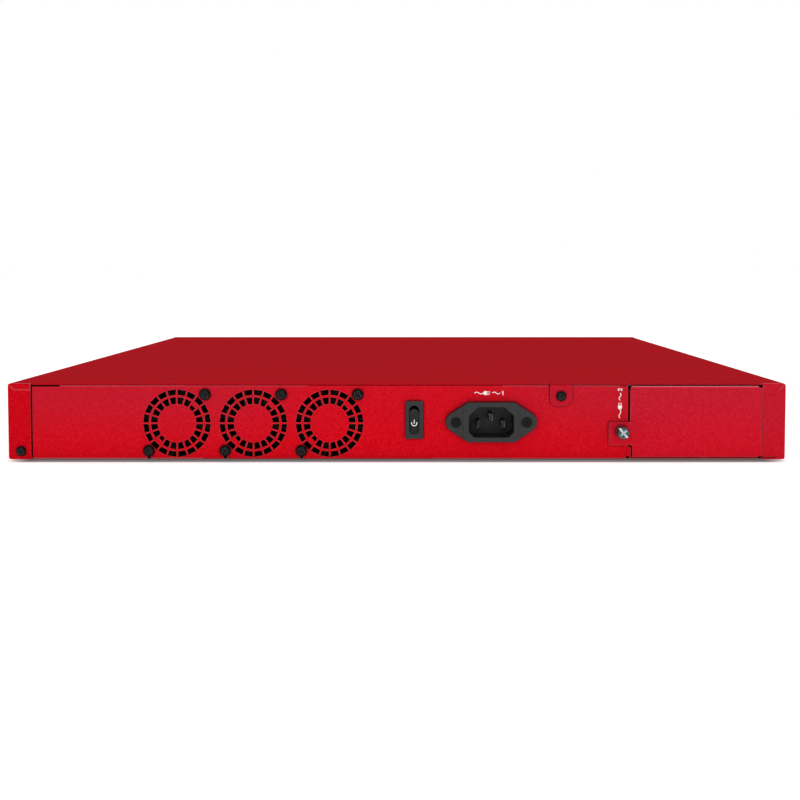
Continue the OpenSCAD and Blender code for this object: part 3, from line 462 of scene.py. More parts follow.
def galvanised():
    s = Surface("galvanised_steel")
    flake = s.cells(7 * MM, output="Color")
    shade = s.node("ShaderNodeRGBToBW")
    s.link(flake, shade.inputs[0])
    greys = [(0.0, (0.40, 0.42, 0.44)), (0.5, (0.52, 0.54, 0.56)), (1.0, (0.66, 0.68, 0.70))]
    s.colour(s.ramp(shade.outputs[0], greys))
    s.rough(s.range(shade.outputs[0], 0.28, 0.5))
    s.set(Metallic=1.0)
    s.bump(s.noise(0.8 * MM, seed=3), 0.02 * MM, 0.35)
    return s.mat


def black_screw(name, shine):
    """Black plating, worn through in patches along its edges."""
    s = Surface(name)
    edges = s.math("MULTIPLY", s.edge_wear_and_highlight(0.25 * MM), s.range(s.noise(0.35 * MM, seed=6), 0.0, 1.6))
    s.colour(s.mix(s.math("MULTIPLY", edges, shine, clamp=True), (0.006, 0.006, 0.006), (0.30, 0.30, 0.31)))
    s.rough(s.range(s.noise(0.3 * MM), 0.3, 0.5))
    s.set(Metallic=0.6, Specular_IOR_Level=0.3)
    s.bump(s.noise(0.2 * MM, seed=3), 0.01 * MM, 0.4)
    return s.mat


def moulded(name, base, roughness=0.5, grain=0.25, shine=0.45):
    s = Surface(name)
    patch = s.noise(6 * MM, detail=2)
    low = tuple(c * 0.8 for c in base)
    high = tuple(min(1.0, c * 1.25) for c in base)
    s.colour(s.mix(patch, low, high))
    s.rough(s.range(s.noise(grain * 2 * MM, seed=5), roughness - 0.07, roughness + 0.08))
    s.set(Specular_IOR_Level=shine)
    s.bump(s.noise(grain * MM, detail=2, seed=2), 0.02 * MM, 0.4)
    return s.mat


def rubber():
    s = Surface("foot_rubber")
    s.colour(s.mix(s.noise(2 * MM), (0.012, 0.012, 0.012), (0.03, 0.03, 0.028)))
    s.rough(s.range(s.noise(0.5 * MM, seed=2), 0.75, 0.92))
    s.bump(s.noise(0.3 * MM, seed=3), 0.03 * MM, 0.5)
    return s.mat


def brushed(name, base, rough=0.3):
    """Aluminium with a fine grain drawn along X."""
    s = Surface(name)
    lines = s.noise(0.25 * MM, detail=3, stretch=(0.02, 1, 1), seed=1)
    dark = tuple(c * 0.82 for c in base)
    s.colour(s.mix(lines, dark, base))
    s.rough(s.range(lines, rough, rough + 0.18))
    s.set(Metallic=1.0)
    s.bump(lines, 0.01 * MM, 0.35)
    return s.mat


def circuit_board(name, mask):
    """Solder mask over tracks that run along X and Y, with vias."""
    s = Surface(name)
    split = s.node("ShaderNodeSeparateXYZ")
    s.link(s.coords, split.inputs[0])

    def tracks(axis, pitch, seed):
        wobble = s.noise(14 * MM, detail=0, seed=seed)
        along = s.math("ADD", s.math("DIVIDE", split.outputs[axis], pitch), s.math("MULTIPLY", wobble, 3.0))
        wave = s.math("FRACT", along)
        line = s.math("GREATER_THAN", wave, 0.6)
        area = s.math("GREATER_THAN", s.noise(18 * MM, detail=1, seed=seed + 9), 0.5)
        return s.math("MULTIPLY", line, area)

    copper = s.math("MAXIMUM", tracks(0, 0.9 * MM, 2.0), tracks(1, 1.1 * MM, 6.0))
    dots = s.cells(3.4 * MM, seed=3)
    via = s.math("LESS_THAN", dots, 0.09)
    light = tuple(min(1.0, c * 1.9 + 0.004) for c in mask)
    tone = s.mix(copper, mask, light)
    s.colour(s.mix(via, tone, (0.45, 0.42, 0.32)))
    s.rough(s.range(s.noise(3 * MM, seed=7), 0.26, 0.4))
    s.bump(copper, 0.035 * MM, 0.5)
    return s.mat


def epoxy():
    s = Surface("chip_epoxy")
    s.colour(s.mix(s.noise(0.8 * MM), (0.012, 0.012, 0.013), (0.028, 0.028, 0.03)))
    s.rough(s.range(s.noise(0.3 * MM, seed=2), 0.5, 0.68))
    s.bump(s.noise(0.18 * MM, seed=3), 0.02 * MM, 0.5)
    return s.mat


def copper_windings():
    s = Surface("copper_windings")
    wires = s.node("ShaderNodeTexWave", wave_type="BANDS", bands_direction="Y")
    wires.inputs["Scale"].default_value = 700
    wires.inputs["Distortion"].default_value = 0.6
    s.link(s.coords, wires.inputs["Vector"])
    s.colour(s.mix(wires.outputs["Fac"], (0.22, 0.06, 0.02), (0.62, 0.24, 0.10)))
    s.rough(s.range(wires.outputs["Fac"], 0.3, 0.45))
    s.set(Metallic=0.85)
    s.bump(wires.outputs["Fac"], 0.15 * MM, 0.7)
    return s.mat


def ferrite_and_tape():
    """Dark ferrite, with the yellow tape of the winding inside it."""
    s = Surface("ferrite_and_tape")
    transformer_y, core_half, choke_from_y = -96 * MM, 7.05 * MM, -81 * MM
    split = s.node("ShaderNodeSeparateXYZ")
    s.link(s.coords, split.inputs[0])
    rim = s.math("ABSOLUTE", s.math("SUBTRACT", split.outputs[1], transformer_y))
    wound = s.math("GREATER_THAN", rim, core_half)
    ring = s.math("GREATER_THAN", split.outputs[1], choke_from_y)
    tape = s.mix(s.noise(2 * MM), (0.72, 0.46, 0.06), (0.85, 0.6, 0.12))
    tone = s.mix(wound, (0.03, 0.03, 0.032), tape)
    wires = s.node("ShaderNodeTexWave", wave_type="RINGS", rings_direction="Z")
    wires.inputs["Scale"].default_value = 160
    s.link(s.coords, wires.inputs["Vector"])
    s.colour(s.mix(ring, tone, s.mix(wires.outputs["Fac"], (0.25, 0.07, 0.02), (0.6, 0.22, 0.08))))
    s.rough(s.range(s.noise(0.6 * MM, seed=4), 0.4, 0.6))
    s.bump(s.noise(0.4 * MM, seed=2), 0.03 * MM, 0.4)
    return s.mat


def sleeve():
    """Capacitor sleeve with a bright vented top."""
    s = Surface("capacitor_sleeve")
    geometry = s.node("ShaderNodeNewGeometry")
    split = s.node("ShaderNodeSeparateXYZ")
    s.link(geometry.outputs["Normal"], split.inputs[0])
    top = s.math("GREATER_THAN", split.outputs[2], 0.75)
    tone = s.mix(s.noise(5 * MM), (0.02, 0.025, 0.05), (0.03, 0.04, 0.085))
    s.colour(s.mix(top, tone, (0.55, 0.56, 0.58)))
    s.link(top, s.shader.inputs["Metallic"])
    s.rough(s.range(s.noise(0.7 * MM, seed=2), 0.28, 0.4))
    s.bump(s.noise(0.9 * MM, seed=3), 0.02 * MM, 0.3)
    return s.mat


def insulated_wire(name, tones, plugs=()):
    """Wire insulation; neighbouring wires take their tones by where they run, and plugs are ivory."""
    s = Surface(name)
    split = s.node("ShaderNodeSeparateXYZ")
    s.link(s.coords, split.inputs[0])
    base = None
    for limit, tone in tones:
        pick = s.math("GREATER_THAN", split.outputs[0], limit)
        base = tone if base is None else s.mix(pick, base, tone)
    for box in plugs:
        base = s.mix(s.inside(*box), base, (0.62, 0.58, 0.47))
    speck = s.noise(1.5 * MM, seed=4)
    s.colour(s.mix(s.range(speck, 0.0, 0.25), base, (0.0, 0.0, 0.0)))
    s.rough(s.range(s.noise(0.6 * MM, seed=2), 0.38, 0.52))
    s.bump(s.noise(0.5 * MM, seed=3), 0.015 * MM, 0.4)
    return s.mat


def two_part(name, parts, boxes, roughness=0.45, metallic=0.0):
    """One surface for a node of two materials: the second shows within the boxes."""
    s = Surface(name)
    picked = None
    for low, high in boxes:
        test = s.inside(low, high)
        picked = test if picked is None else s.math("MAXIMUM", picked, test)
    tones = []
    for tone in parts:
        dark = tuple(c * 0.8 for c in tone)
        light = tuple(min(1.0, c * 1.2 + 0.004) for c in tone)
        tones.append(s.mix(s.noise(1.5 * MM, detail=3, seed=len(tones)), dark, light))
    s.colour(s.mix(picked, tones[0], tones[1]))
    s.rough(s.range(s.noise(0.6 * MM, seed=4), roughness - 0.08, roughness + 0.08))
    if metallic:
        s.link(s.math("MULTIPLY", picked, metallic), s.shader.inputs["Metallic"])
    s.bump(s.noise(0.4 * MM, seed=2), 0.02 * MM, 0.4)
    return s.mat


def box_of(x0, y0, z0, x1, y1, z1):
    """Two corners of an upright box, given in millimetres."""
    return Vector((x0, y0, z0)) * MM, Vector((x1, y1, z1)) * MM


def light_pipe():
    s = Surface("light_pipe")
    s.colour(s.mix(s.noise(1.2 * MM), (0.62, 0.75, 0.62), (0.75, 0.86, 0.75)))
    s.rough(s.range(s.noise(0.6 * MM, seed=2), 0.15, 0.3))
    s.set(Transmission_Weight=0.35)
    s.bump(s.noise(0.5 * MM, seed=3), 0.01 * MM, 0.3)
    return s.mat


def white_ink():
    s = Surface("white_ink")
    s.colour(s.mix(s.noise(0.5 * MM, detail=4), (0.80, 0.79, 0.76), (0.92, 0.91, 0.89)))
    s.rough(s.range(s.noise(0.4 * MM, seed=2), 0.45, 0.65))
    s.bump(s.noise(0.3 * MM, seed=3), 0.01 * MM, 0.4)
    return s.mat


def gold():
    s = Surface("gold_contact")
    s.colour(s.mix(s.noise(0.5 * MM), (0.78, 0.52, 0.16), (0.9, 0.66, 0.26)))
    s.rough(s.range(s.noise(0.3 * MM, seed=2), 0.18, 0.3))
    s.set(Metallic=1.0)
    return s.mat


# Stretches of the red sheet with painted highlights and painted shade, lighter or darker than the rest.
LEFT_LIP = box_of(-221, -240, 40, -207.1, 0, 45)
RIGHT_LIP = box_of(207.1, -240, 40, 221, 0, 45)
COVER_EDGE = (
    Vector((cover_low.x + 13 * MM, REAR_Y - MM, TOP_Z - 1.3 * MM)),
    Vector((cover_high.x - 14 * MM, REAR_Y + 1.2 * MM, TOP_Z + MM)),
)
PANEL_TOP = box_of(-206, -232, 42.4, 60, -226, 44)
PANEL_FOOT = box_of(-220, -232, 0, 220, -226, 2.0)
LEFT_STRIP = box_of(-221, -232, 0, -207.1, -226, 45)
RIGHT_SIDE = box_of(80, -232, 0, 221, -226, 44.2)
SHADE = (0.17, 0.0, 0.002)
GLOSS = (0.92, 0.30, 0.36)
RED = powder_coat("red_powder_coat", (0.56, 0.003, 0.013))
# The rear panel, cover and bay plate copies carry painted highlights, painted shade and painted shade by
# height in their own places.
RED_REAR = powder_coat(
    "red_powder_coat_rear", (0.60, 0.0012, 0.0085), 0.3, (PANEL_TOP, PANEL_FOOT),
    (
        (box_of(-206, -232, 42.7, -120, -226, 44), 0.30, GLOSS),
        (box_of(-120, -232, 42.7, -50, -226, 44), 0.17, GLOSS),
        (box_of(60, -232, 42.7, 126, -226, 44), 0.25, GLOSS),
        (box_of(-206, -232, 1, -110, -226, 1.9), 0.25, GLOSS),
        (box_of(20, -232, 1, 131, -226, 1.9), 0.12, GLOSS),
    ),
    (0.1, 1.1, 0.35))
RED_COVER = powder_coat(
    "red_powder_coat_cover", (0.57, 0.0009, 0.0083), 0.2, (LEFT_LIP, RIGHT_LIP),
    ((COVER_EDGE, 0.45, SHADE), (LEFT_STRIP, 0.12, SHADE)), (0.6, 1.4, 1.0), RIGHT_SIDE)
RED_PLATE = powder_coat(
    "red_powder_coat_plate", (0.57, 0.0045, 0.016), 0.4, (),
    ((box_of(132, -232, 42.2, 205, -226, 43.4), 0.25, GLOSS),), (0.1, 0.85, 1.0))
DULL_ZINC = plated_steel("dull_zinc", (0.36, 0.34, 0.34), (0.14, 0.12, 0.12), 0.3)
ZINC = plated_steel("bright_zinc", (0.72, 0.73, 0.72), (0.50, 0.50, 0.47), 0.2)
TIN = plated_steel("tinned_contact", (0.72, 0.71, 0.68), (0.55, 0.54, 0.50), 0.22)
PIN_METAL = pin_metal()
# The captive screw's light recess colour is a painted highlight.
CAPTIVE_METAL = screw_metal(
    "captive_screw_metal", (0.13, 0.15, 0.16), (0.012, 0.018, 0.02), (0.86, 0.95, 0.97),
    box_of(124.4, -240, 14.5, 129.8, -235.5, 19.9))
NICKEL = plated_steel("nickel_shell", (0.60, 0.59, 0.56), (0.46, 0.45, 0.42), 0.24)
GALVANISED = galvanised()
BLACK_SCREW = black_screw("black_zinc_screw", 0.9)
INLET_SCREW = black_screw("inlet_screw", 0.12)
FAN_PLASTIC = moulded("fan_plastic", (0.003, 0.0035, 0.003), 0.5, shine=0.03)
ROTOR_PLASTIC = moulded("rotor_plastic", (0.003, 0.004, 0.0035), 0.4, shine=0.12)
BLACK_PLASTIC = moulded("black_plastic", (0.013, 0.013, 0.014), 0.46)
ROCKER_PLASTIC = moulded("rocker_plastic", (0.004, 0.004, 0.0045), 0.42, shine=0.3)
GREY_PLASTIC = moulded("inlet_plastic", (0.016, 0.0175, 0.0175), 0.5, 0.3, 0.4)
RUBBER = rubber()
BRASS = plated_steel("brass", (0.72, 0.50, 0.20), (0.55, 0.36, 0.12), 0.24)
COPPER = copper_windings()
BLACK, GREEN = (0.014, 0.014, 0.015), (0.008, 0.075, 0.03)
BOARD = circuit_board("board_green", GREEN)
ALUMINIUM = brushed("extruded_aluminium", (0.68, 0.69, 0.70))
BLACK_METAL = brushed("black_anodised", (0.03, 0.03, 0.033), rough=0.4)
CHIP = epoxy()
SLEEVE = sleeve()
FERRITE = ferrite_and_tape()
GOLD = gold()
INK = white_ink()
LIGHT = light_pipe()
CERAMIC = moulded("chip_ceramic", (0.42, 0.30, 0.19), 0.5)
LAMP_GREEN = moulded("lamp_green", (0.10, 0.42, 0.14), 0.25)
LAMP_AMBER = moulded("lamp_amber", (0.62, 0.30, 0.03), 0.25)
MAINS_WIRE = insulated_wire("mains_wire", [
    (0, (0.12, 0.045, 0.02)), (0.0465, (0.015, 0.06, 0.35)),
])
DC_PLUGS = (box_of(27.9, 27.9, 9.4, 40.1, 40.1, 19.6), box_of(63.9, -33.1, 10.4, 76.1, -28.4, 17.6))
FAN_PLUGS = [box_of(x + 5.4, -170.2, 9.4, x + 14.6, -163.8, 20.6) for x in (-124.7, -81.4, -38.1)]
SUPPLY_WIRE = insulated_wire("supply_wire", [(0, (0.02, 0.02, 0.022)), (0.07, (0.70, 0.46, 0.03))], DC_PLUGS)
FAN_WIRE = insulated_wire("fan_wire", [(0, (0.02, 0.02, 0.02))], FAN_PLUGS)
MEMORY_CHIPS = [
    box_of(-178 + 3 * k, -110 + 48 * k + y, 13.28 + 3 * k, -166 + 3 * k, -110 + 48 * k + y + 9, 14.4 + 3 * k)
    for k in (0, 1) for y in (4, 16, 28)
]
STORAGE_CHIPS = [
    box_of(x, 22.9, 12.72, x + wide, 39.1, 14.3)
    for x, wide in ((107.9, 18.2), (133.9, 16.2), (153.9, 16.2))
]
STORAGE_CHIPS.append(box_of(95.9, 18.9, 9.4, 100.05, 43.1, 13.8))
MEMORY = two_part("memory_board", (GREEN, BLACK), MEMORY_CHIPS, 0.36)
STORAGE = two_part("storage_board", (GREEN, BLACK), STORAGE_CHIPS, 0.36)
CELL_TOP = [box_of(157, 87, 13.95, 183, 113, 14.2)]
CELL = two_part("coin_cell_in_holder", (BLACK, (0.62, 0.62, 0.60)), CELL_TOP, 0.32, 0.9)
SUPPLY = two_part("supply_board", (GREEN, (0.02, 0.11, 0.05)), [
    box_of(45.9, -177.6, 10, 68.1, -166.9, 15.1), box_of(57.9, -40.1, 10, 82.1, -32.9, 18.1)], 0.4)

NODE_MATERIAL = {
    "base_pan": RED, "rear_panel": RED_REAR, "front_panel": RED, "rubber_feet": RUBBER, "rack_nuts": ZINC,
    "top_cover": RED_COVER, "cover_screws": BLACK_SCREW, "bay_cover": RED_PLATE, "captive_ferrule": DULL_ZINC,
    "captive_washer": DULL_ZINC, "captive_screw": CAPTIVE_METAL,
    "bay_cage": GALVANISED, "bay_connector": BLACK_PLASTIC,
    "fan_stators": COPPER, "fan_bearings": BRASS, "fan_screws": BLACK_SCREW, "fan_leads": FAN_WIRE,
    "inlet_housing": GREY_PLASTIC, "inlet_pins": PIN_METAL, "inlet_screws": INLET_SCREW,
    "switch_housing": GREY_PLASTIC, "switch_rocker": ROCKER_PLASTIC, "switch_terminals": TIN,
    "ac_leads": MAINS_WIRE, "supply_tray": GALVANISED, "supply_board": SUPPLY, "supply_heatsinks": ALUMINIUM,
    "supply_magnetics": FERRITE, "supply_capacitors": SLEEVE, "dc_harness": SUPPLY_WIRE,
    "main_board": BOARD, "board_standoffs": BRASS, "board_screws": ZINC, "cpu_package": TIN,
    "cpu_heatsink": ALUMINIUM, "switch_heatsink": BLACK_METAL,
    "board_chips": CHIP, "board_capacitors": SLEEVE,
    "memory_sockets": BLACK_PLASTIC, "memory_modules": MEMORY, "storage_module": STORAGE, "coin_cell": CELL,
    "port_block": NICKEL, "console_jack": BLACK_PLASTIC, "usb_ports": NICKEL, "reset_button": BLACK_PLASTIC,
    "reset_switch": BLACK_PLASTIC, "status_lights": LIGHT, "expansion_cover": RED,
    "expansion_washer_left": ZINC, "expansion_washer_right": ZINC, "expansion_screw_left": ZINC,
    "expansion_screw_right": ZINC, "expansion_rails": GALVANISED,
}
for number in (1, 2, 3):
    NODE_MATERIAL[f"fan_{number}_frame"] = FAN_PLASTIC
    NODE_MATERIAL[f"fan_{number}_rotor"] = ROTOR_PLASTIC

# How much the edges of each CAD node are rounded, in millimetres.
EDGE = {
    "top_cover": 0.12, "rear_panel": 0.12, "front_panel": 0.15, "bay_cover": 0.15, "expansion_cover": 0.15,
    "cover_screws": 0.12, "fan_screws": 0.15, "inlet_screws": 0.1, "captive_screw": 0.08,
    "captive_ferrule": 0.12, "captive_washer": 0.06, "inlet_housing": 0.2, "inlet_pins": 0.2,
    "switch_housing": 0.2, "switch_rocker": 0.2,
    "expansion_screw_left": 0.1, "expansion_screw_right": 0.1, "port_block": 0.12, "console_jack": 0.15,
    "usb_ports": 0.12, "rubber_feet": 0.2, "memory_sockets": 0.15, "board_chips": 0.1, "cpu_package": 0.15,
}


def finish_node(name, node):
    node.data.materials.clear()
    node.data.materials.append(NODE_MATERIAL[name])
    if name in EDGE:
        weld = node.modifiers.new("weld", "WELD")
        weld.merge_threshold = 0.002 * MM
        bevel = node.modifiers.new("soft_edges", "BEVEL")
        bevel.width = EDGE[name] * MM
        bevel.segments = 2
        bevel.limit_method = "ANGLE"
        bevel.angle_limit = math.radians(40)
        bevel.harden_normals = True


for node_name, node_object in nodes.items():
    finish_node(node_name, node_object)


# ---- mesh helpers ----


def piece(name, bm, mat, body):
    mesh = bpy.data.meshes.new(name)
    bmesh.ops.recalc_face_normals(bm, faces=bm.faces)
    bm.to_mesh(mesh)
    bm.free()
    mesh.materials.append(mat)
    obj = bpy.data.objects.new(name, mesh)
    bpy.context.scene.collection.objects.link(obj)
    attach(obj, body)


def prism(bm, near_points, far_points):
    """A closed solid between two outlines with the same number of points."""
    near = [bm.verts.new(point) for point in near_points]
    far = [bm.verts.new(point) for point in far_points]
    bm.faces.new(near)
    bm.faces.new(list(reversed(far)))
    count = len(near)
    for i in range(count):
        j = (i + 1) % count
        bm.faces.new((near[j], near[i], far[i], far[j]))


def slab(bm, outline, place, turn, thick):
    """A flat closed shape, drawn in metres in x and z, raised by thick towards -Y."""
    spin = Matrix.Rotation(turn, 3, "Y")
    near = [Vector(place) + spin @ Vector((x, -thick, z)) for x, z in outline]
    far = [Vector(place) + spin @ Vector((x, 0, z)) for x, z in outline]
    prism(bm, near, far)


def stroke(points, width):
    """Outline of a line of constant width with square ends, through points in a plane."""
    left, right = [], []
    for i, point in enumerate(points):
        before = Vector(points[max(i - 1, 0)])
        after = Vector(points[min(i + 1, len(points) - 1)])
        along = (after - before).normalized()
        side = Vector((-along.y, along.x)) * width / 2
        left.append(tuple(Vector(point) + side))
        right.append(tuple(Vector(point) - side))
    return left + list(reversed(right))


def arc(centre, radius, start, stop, steps):
    angles = [start + (stop - start) * i / steps for i in range(steps + 1)]
    return [(centre[0] + radius * math.cos(a), centre[1] + radius * math.sin(a)) for a in angles]


def ripple(start, length, height, steps):
    """One period of a sine wave along x."""
    shares = [i / steps for i in range(steps + 1)]
    return [(start + t * length, height * math.sin(t * 2 * math.pi)) for t in shares]


INK_THICK = 0.03 * MM


def supply_mark(name, centre, turn, digit):
    """White print: a plug on its lead, a wave for alternating current, and the supply's number."""
    bm = bmesh.new()
    place = (centre[0], PANEL_Y, centre[1])
    line = 0.42 * MM
    tall = 2.4 * MM

    def draw(points, width=line):
        slab(bm, stroke(points, width), place, turn, INK_THICK)

    start = -8.6 * MM
    draw(ripple(start, 5.0 * MM, 0.5 * MM, 14))
    body = [
        (start + 5.0 * MM, -0.6 * MM), (start + 5.8 * MM, -1.1 * MM), (start + 7.1 * MM, -1.1 * MM),
        (start + 7.1 * MM, 1.1 * MM), (start + 5.8 * MM, 1.1 * MM), (start + 5.0 * MM, 0.6 * MM),
    ]
    slab(bm, body, place, turn, INK_THICK)
    for side in (-0.6, 0.6):
        draw([(start + 7.1 * MM, side * MM), (start + 8.8 * MM, side * MM)])
    draw(ripple(1.6 * MM, 4.2 * MM, 0.55 * MM, 16))
    if digit == 1:
        draw([(7.6 * MM, -tall / 2), (7.6 * MM, tall / 2)], line * 1.1)
        draw([(6.8 * MM, tall / 2 - 0.75 * MM), (7.55 * MM, tall / 2 - 0.1 * MM)])
    else:
        top = arc((7.6 * MM, tall / 2 - 0.7 * MM), 0.6 * MM, math.radians(170), math.radians(-35), 10)
        draw(top + [(7.0 * MM, -tall / 2 + line / 2)])
        draw([(6.85 * MM, -tall / 2 + line / 2), (8.35 * MM, -tall / 2 + line / 2)])
    piece(name, bm, INK, "chassis")


inlet_low, inlet_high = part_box("inlet_housing")
inlet_x = (inlet_low.x + inlet_high.x) / 2
supply_mark("supply_mark_1", (inlet_x - 0.9 * MM, TOP_Z - 5.6 * MM), 0, 1)
blank_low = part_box("bay_cover")[0]
supply_mark("supply_mark_2", (blank_low.x + 6.4 * MM, TOP_Z - 11.3 * MM), -math.pi / 2, 2)


def power_symbol():
    """A stroke over an open ring, printed across the rocker's ridge and down its lower half."""
    low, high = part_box("switch_rocker")
    housing_low, housing_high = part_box("switch_housing")
    pivot = Vector(((low.x + high.x) / 2, REAR_Y + 5.1 * MM, (housing_low.z + housing_high.z) / 2))
    rest_tilt = math.radians(8)
    lean = Matrix.Rotation(rest_tilt, 3, "X")
    slope = math.atan2(1.4, 7.35)
    ridge_y = -4.7 * MM
    bm = bmesh.new()

    def placed(x, up, lift):
        """A point of the print: up is measured along the rocker's face from its ridge."""
        side = 1 if up > 0 else -1
        face = Vector((x, ridge_y - abs(up) * math.sin(slope), up * math.cos(slope)))
        out = Vector((0, -math.cos(slope), -side * math.sin(slope)))
        return pivot + lean @ (face + out * lift)

    def draw(points):
        outline = stroke(points, 0.46 * MM)
        near = [placed(x, up, INK_THICK) for x, up in outline]
        far = [placed(x, up, -INK_THICK) for x, up in outline]
        prism(bm, near, far)

    middle = -1.25 * MM
    draw([(0, middle - 0.3 * MM), (0, -0.001 * MM)])
    draw([(0, 0.001 * MM), (0, 0.8 * MM)])
    draw(arc((0, middle), 1.5 * MM, math.radians(155), math.radians(385), 20))
    piece("power_symbol", bm, INK, "switch_rocker")


power_symbol()


# ---- small parts inside and at the front ----


def add_block(bm, low, high, bevel=0.0):
    verts = [
        bm.verts.new(Vector((x, y, z)))
        for x in (low[0], high[0]) for y in (low[1], high[1]) for z in (low[2], high[2])
    ]
    faces = [bm.faces.new([verts[i] for i in loop]) for loop in (
        (0, 1, 3, 2), (4, 6, 7, 5), (0, 4, 5, 1), (2, 3, 7, 6), (0, 2, 6, 4), (1, 5, 7, 3))]
    if bevel:
        edges = {edge for face in faces for edge in face.edges}
        bmesh.ops.bevel(bm, geom=list(edges), offset=bevel, segments=1, affect="EDGES")


def islands(name):
    """The boxes of a CAD node's separate bodies, found on a copy of its mesh."""
    bm = bmesh.new()
    bm.from_mesh(nodes[name].data)
    bmesh.ops.transform(bm, matrix=nodes[name].matrix_world, verts=bm.verts)
    bmesh.ops.remove_doubles(bm, verts=bm.verts, dist=0.002 * MM)
    waiting = set(bm.verts)
    boxes = []
    while waiting:
        seed = waiting.pop()
        group = [seed]
        for vert in group:
            for edge in vert.link_edges:
                other = edge.other_vert(vert)
                if other in waiting:
                    waiting.discard(other)
                    group.append(other)
        low = Vector([min(v.co[i] for v in group) for i in range(3)])
        high = Vector([max(v.co[i] for v in group) for i in range(3)])
        boxes.append((low, high))
    bm.free()
    return sorted(boxes, key=lambda box: tuple(box[0]))


def deck_map(names):
    """Lets parts be laid out on a board only where nothing stands on it."""
    trees = []
    for name in names:
        mesh = nodes[name].data
        world = nodes[name].matrix_world
        verts = [world @ v.co for v in mesh.vertices]
        trees.append(BVHTree.FromPolygons(verts, [list(p.vertices) for p in mesh.polygons]))

    def free(low, high, deck):
        margin = 0.5 * MM
        spots = [
            (x, y) for x in (low[0] - margin, high[0] + margin) for y in (low[1] - margin, high[1] + margin)
        ]
        spots.append(((low[0] + high[0]) / 2, (low[1] + high[1]) / 2))
        for x, y in spots:
            tops = [tree.ray_cast(Vector((x, y, 0.1)), Vector((0, 0, -1)))[0] for tree in trees]
            found = [top.z for top in tops if top is not None]
            if not found or abs(max(found) - deck) > 0.02 * MM:
                return False
        return True

    return free


INNER = [name for name in nodes if name not in ("top_cover", "cover_screws", "base_pan")]
free_spot = deck_map(INNER)


def overlaps(low, high, placed, gap=0.4 * MM):
    """Whether a box comes within gap, in plan, of any box placed before."""
    return any(
        low.x < b.x + gap and high.x > a.x - gap and low.y < b.y + gap and high.y > a.y - gap
        for a, b in placed
    )


def passives(board, deck, area, count, seed, body_name):
    """Small surface-mount parts in rows, each a body with bright ends."""
    rng = random.Random(seed)
    bodies = {"tan": bmesh.new(), "black": bmesh.new()}
    ends = bmesh.new()
    placed = []
    for _ in range(count):
        cx = rng.uniform(area[0], area[2])
        cy = rng.uniform(area[1], area[3])
        long_x = rng.random() < 0.5
        run = rng.randint(2, 6)
        kind = "tan" if rng.random() < 0.55 else "black"
        length, width, tall = rng.choice(((2.0, 1.25, 0.8), (1.6, 0.8, 0.5), (3.2, 1.6, 0.9)))
        pitch = width + 0.9
        for k in range(run):
            shift = k * pitch * MM
            sx, sy = (length, width) if long_x else (width, length)
            x, y = (cx, cy + shift) if long_x else (cx + shift, cy)
            low = Vector((x - sx * MM / 2, y - sy * MM / 2, deck))
            high = Vector((x + sx * MM / 2, y + sy * MM / 2, deck + tall * MM))
            if overlaps(low, high, placed) or not free_spot(low, high, deck):
                continue
            placed.append((low, high))
            axis = 0 if long_x else 1
            cap = 0.22 * length * MM
            body_low, body_high = low.copy(), high.copy()
            body_low[axis] += cap
            body_high[axis] -= cap
            add_block(bodies[kind], body_low, body_high)
            for side in (0, 1):
                end_low, end_high = low.copy(), high + Vector((0, 0, 0.03 * MM))
                if side:
                    end_low[axis] = high[axis] - cap
                else:
                    end_high[axis] = low[axis] + cap
                add_block(ends, end_low, end_high)
    piece(f"{board}_chip_capacitors", bodies["tan"], CERAMIC, body_name)
    piece(f"{board}_chip_resistors", bodies["black"], CHIP, body_name)
    piece(f"{board}_chip_ends", ends, TIN, body_name)


def chip_leads():
    """Gull-wing leads around the flat chips that sit on the board."""
    bm = bmesh.new()
    for low, high in islands("board_chips"):
        if high.z - low.z > 1.6 * MM or low.z > DECK_Z + 0.1 * MM:
            continue
        for axis in (0, 1):
            other = 1 - axis
            start = low[other] + 1.2 * MM
            steps = int((high[other] - low[other] - 2.4 * MM) / (0.8 * MM)) + 1
            for side, edge in ((-1, low[axis]), (1, high[axis])):
                for k in range(steps):
                    at = start + k * 0.8 * MM
                    a = [0, 0, DECK_Z]
                    b = [0, 0, DECK_Z + 0.12 * MM]
                    a[axis], b[axis] = sorted((edge + side * 0.5 * MM, edge + side * 1.3 * MM))
                    a[other], b[other] = at - 0.16 * MM, at + 0.16 * MM
                    add_block(bm, a, b)
                    a = [0, 0, DECK_Z + 0.02 * MM]
                    b = [0, 0, DECK_Z + 0.75 * MM]
                    a[axis], b[axis] = sorted((edge - side * 0.05 * MM, edge + side * 0.55 * MM))
                    a[other], b[other] = at - 0.16 * MM, at + 0.16 * MM
                    add_block(bm, a, b)
    piece("chip_leads", bm, TIN, "chassis")


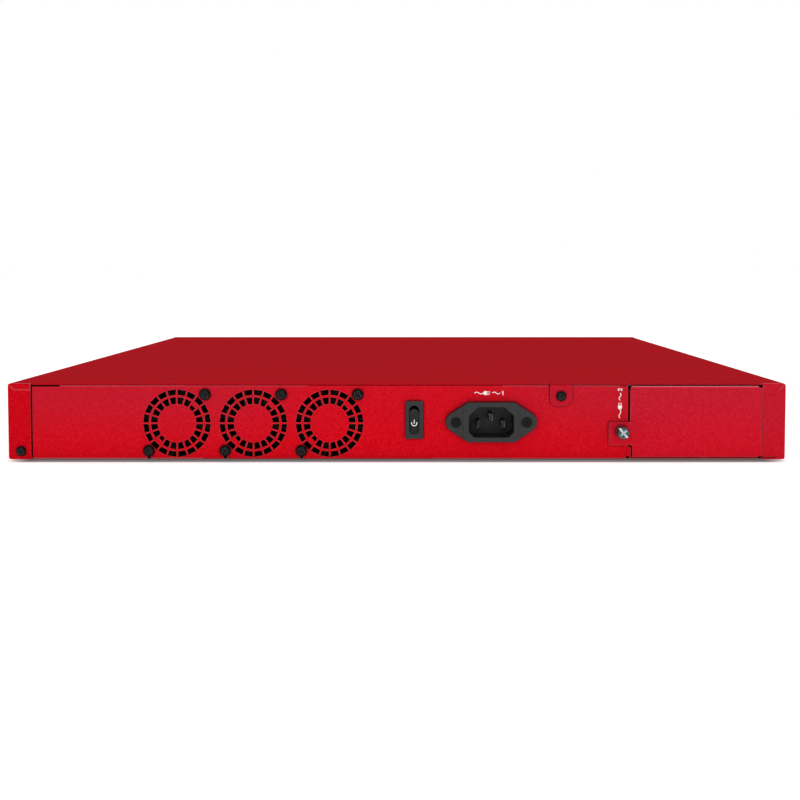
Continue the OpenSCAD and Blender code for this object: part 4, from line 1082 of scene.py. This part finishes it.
def port_details():
    """Gold contacts along the roof or floor of each network port, and its two lamp windows."""
    gold_bm, green_bm, amber_bm = bmesh.new(), bmesh.new(), bmesh.new()
    ports_low, ports_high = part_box("port_block")
    face_y = ports_high.y
    middle = (ports_low.x + ports_high.x) / 2
    places = [
        (middle + (k - 1.5) * 14 * MM, DECK_Z + z * MM, up)
        for k in range(4) for z, up in ((7.6, 1), (19.2, -1))
    ]
    jack_low, jack_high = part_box("console_jack")
    places.append(((jack_low.x + jack_high.x) / 2, DECK_Z + 7.4 * MM, 1))
    for x, z, side in places:
        for k in range(8):
            at = x + (k - 3.5) * 1.02 * MM
            edge = z + side * 3.7 * MM
            a, b = sorted((edge, edge - side * 0.14 * MM))
            add_block(gold_bm, (at - 0.2 * MM, face_y - 13.4 * MM, a),
                      (at + 0.2 * MM, face_y - 1.6 * MM, b))
            a, b = sorted((edge, edge - side * 0.16 * MM))
            add_block(gold_bm, (at - 0.25 * MM, face_y - 13.75 * MM, a),
                      (at + 0.25 * MM, face_y - 12.9 * MM, b))
    for x, z, side in places[:-1]:
        for dx, bm in ((-4.2, green_bm), (4.2, amber_bm)):
            cz = z + side * 4.75 * MM
            add_block(bm, (x + (dx - 1.4) * MM, face_y - 0.3 * MM, cz - 0.6 * MM),
                      (x + (dx + 1.4) * MM, face_y + 0.12 * MM, cz + 0.6 * MM), 0.1 * MM)
    piece("port_contacts", gold_bm, GOLD, "chassis")
    piece("port_lamps_green", green_bm, LAMP_GREEN, "chassis")
    piece("port_lamps_amber", amber_bm, LAMP_AMBER, "chassis")


def memory_contacts():
    """Gold fingers where each memory board meets its socket."""
    bm = bmesh.new()
    for low, high in islands("memory_modules"):
        pitch = (high.y - low.y - 3 * MM) / 24
        top = low.z + 1.1 * MM
        for k in range(24):
            y = low.y + 1.5 * MM + k * pitch
            add_block(bm, (low.x + 0.1 * MM, y, top - 0.01 * MM),
                      (low.x + 2.6 * MM, y + pitch * 0.6, top + 0.02 * MM))
    piece("memory_contacts", bm, GOLD, "chassis")


passives("main_board", DECK_Z, area=(-0.2, -0.166, 0.2, 0.218), count=420, seed=11, body_name="chassis")
chip_leads()
port_details()
memory_contacts()
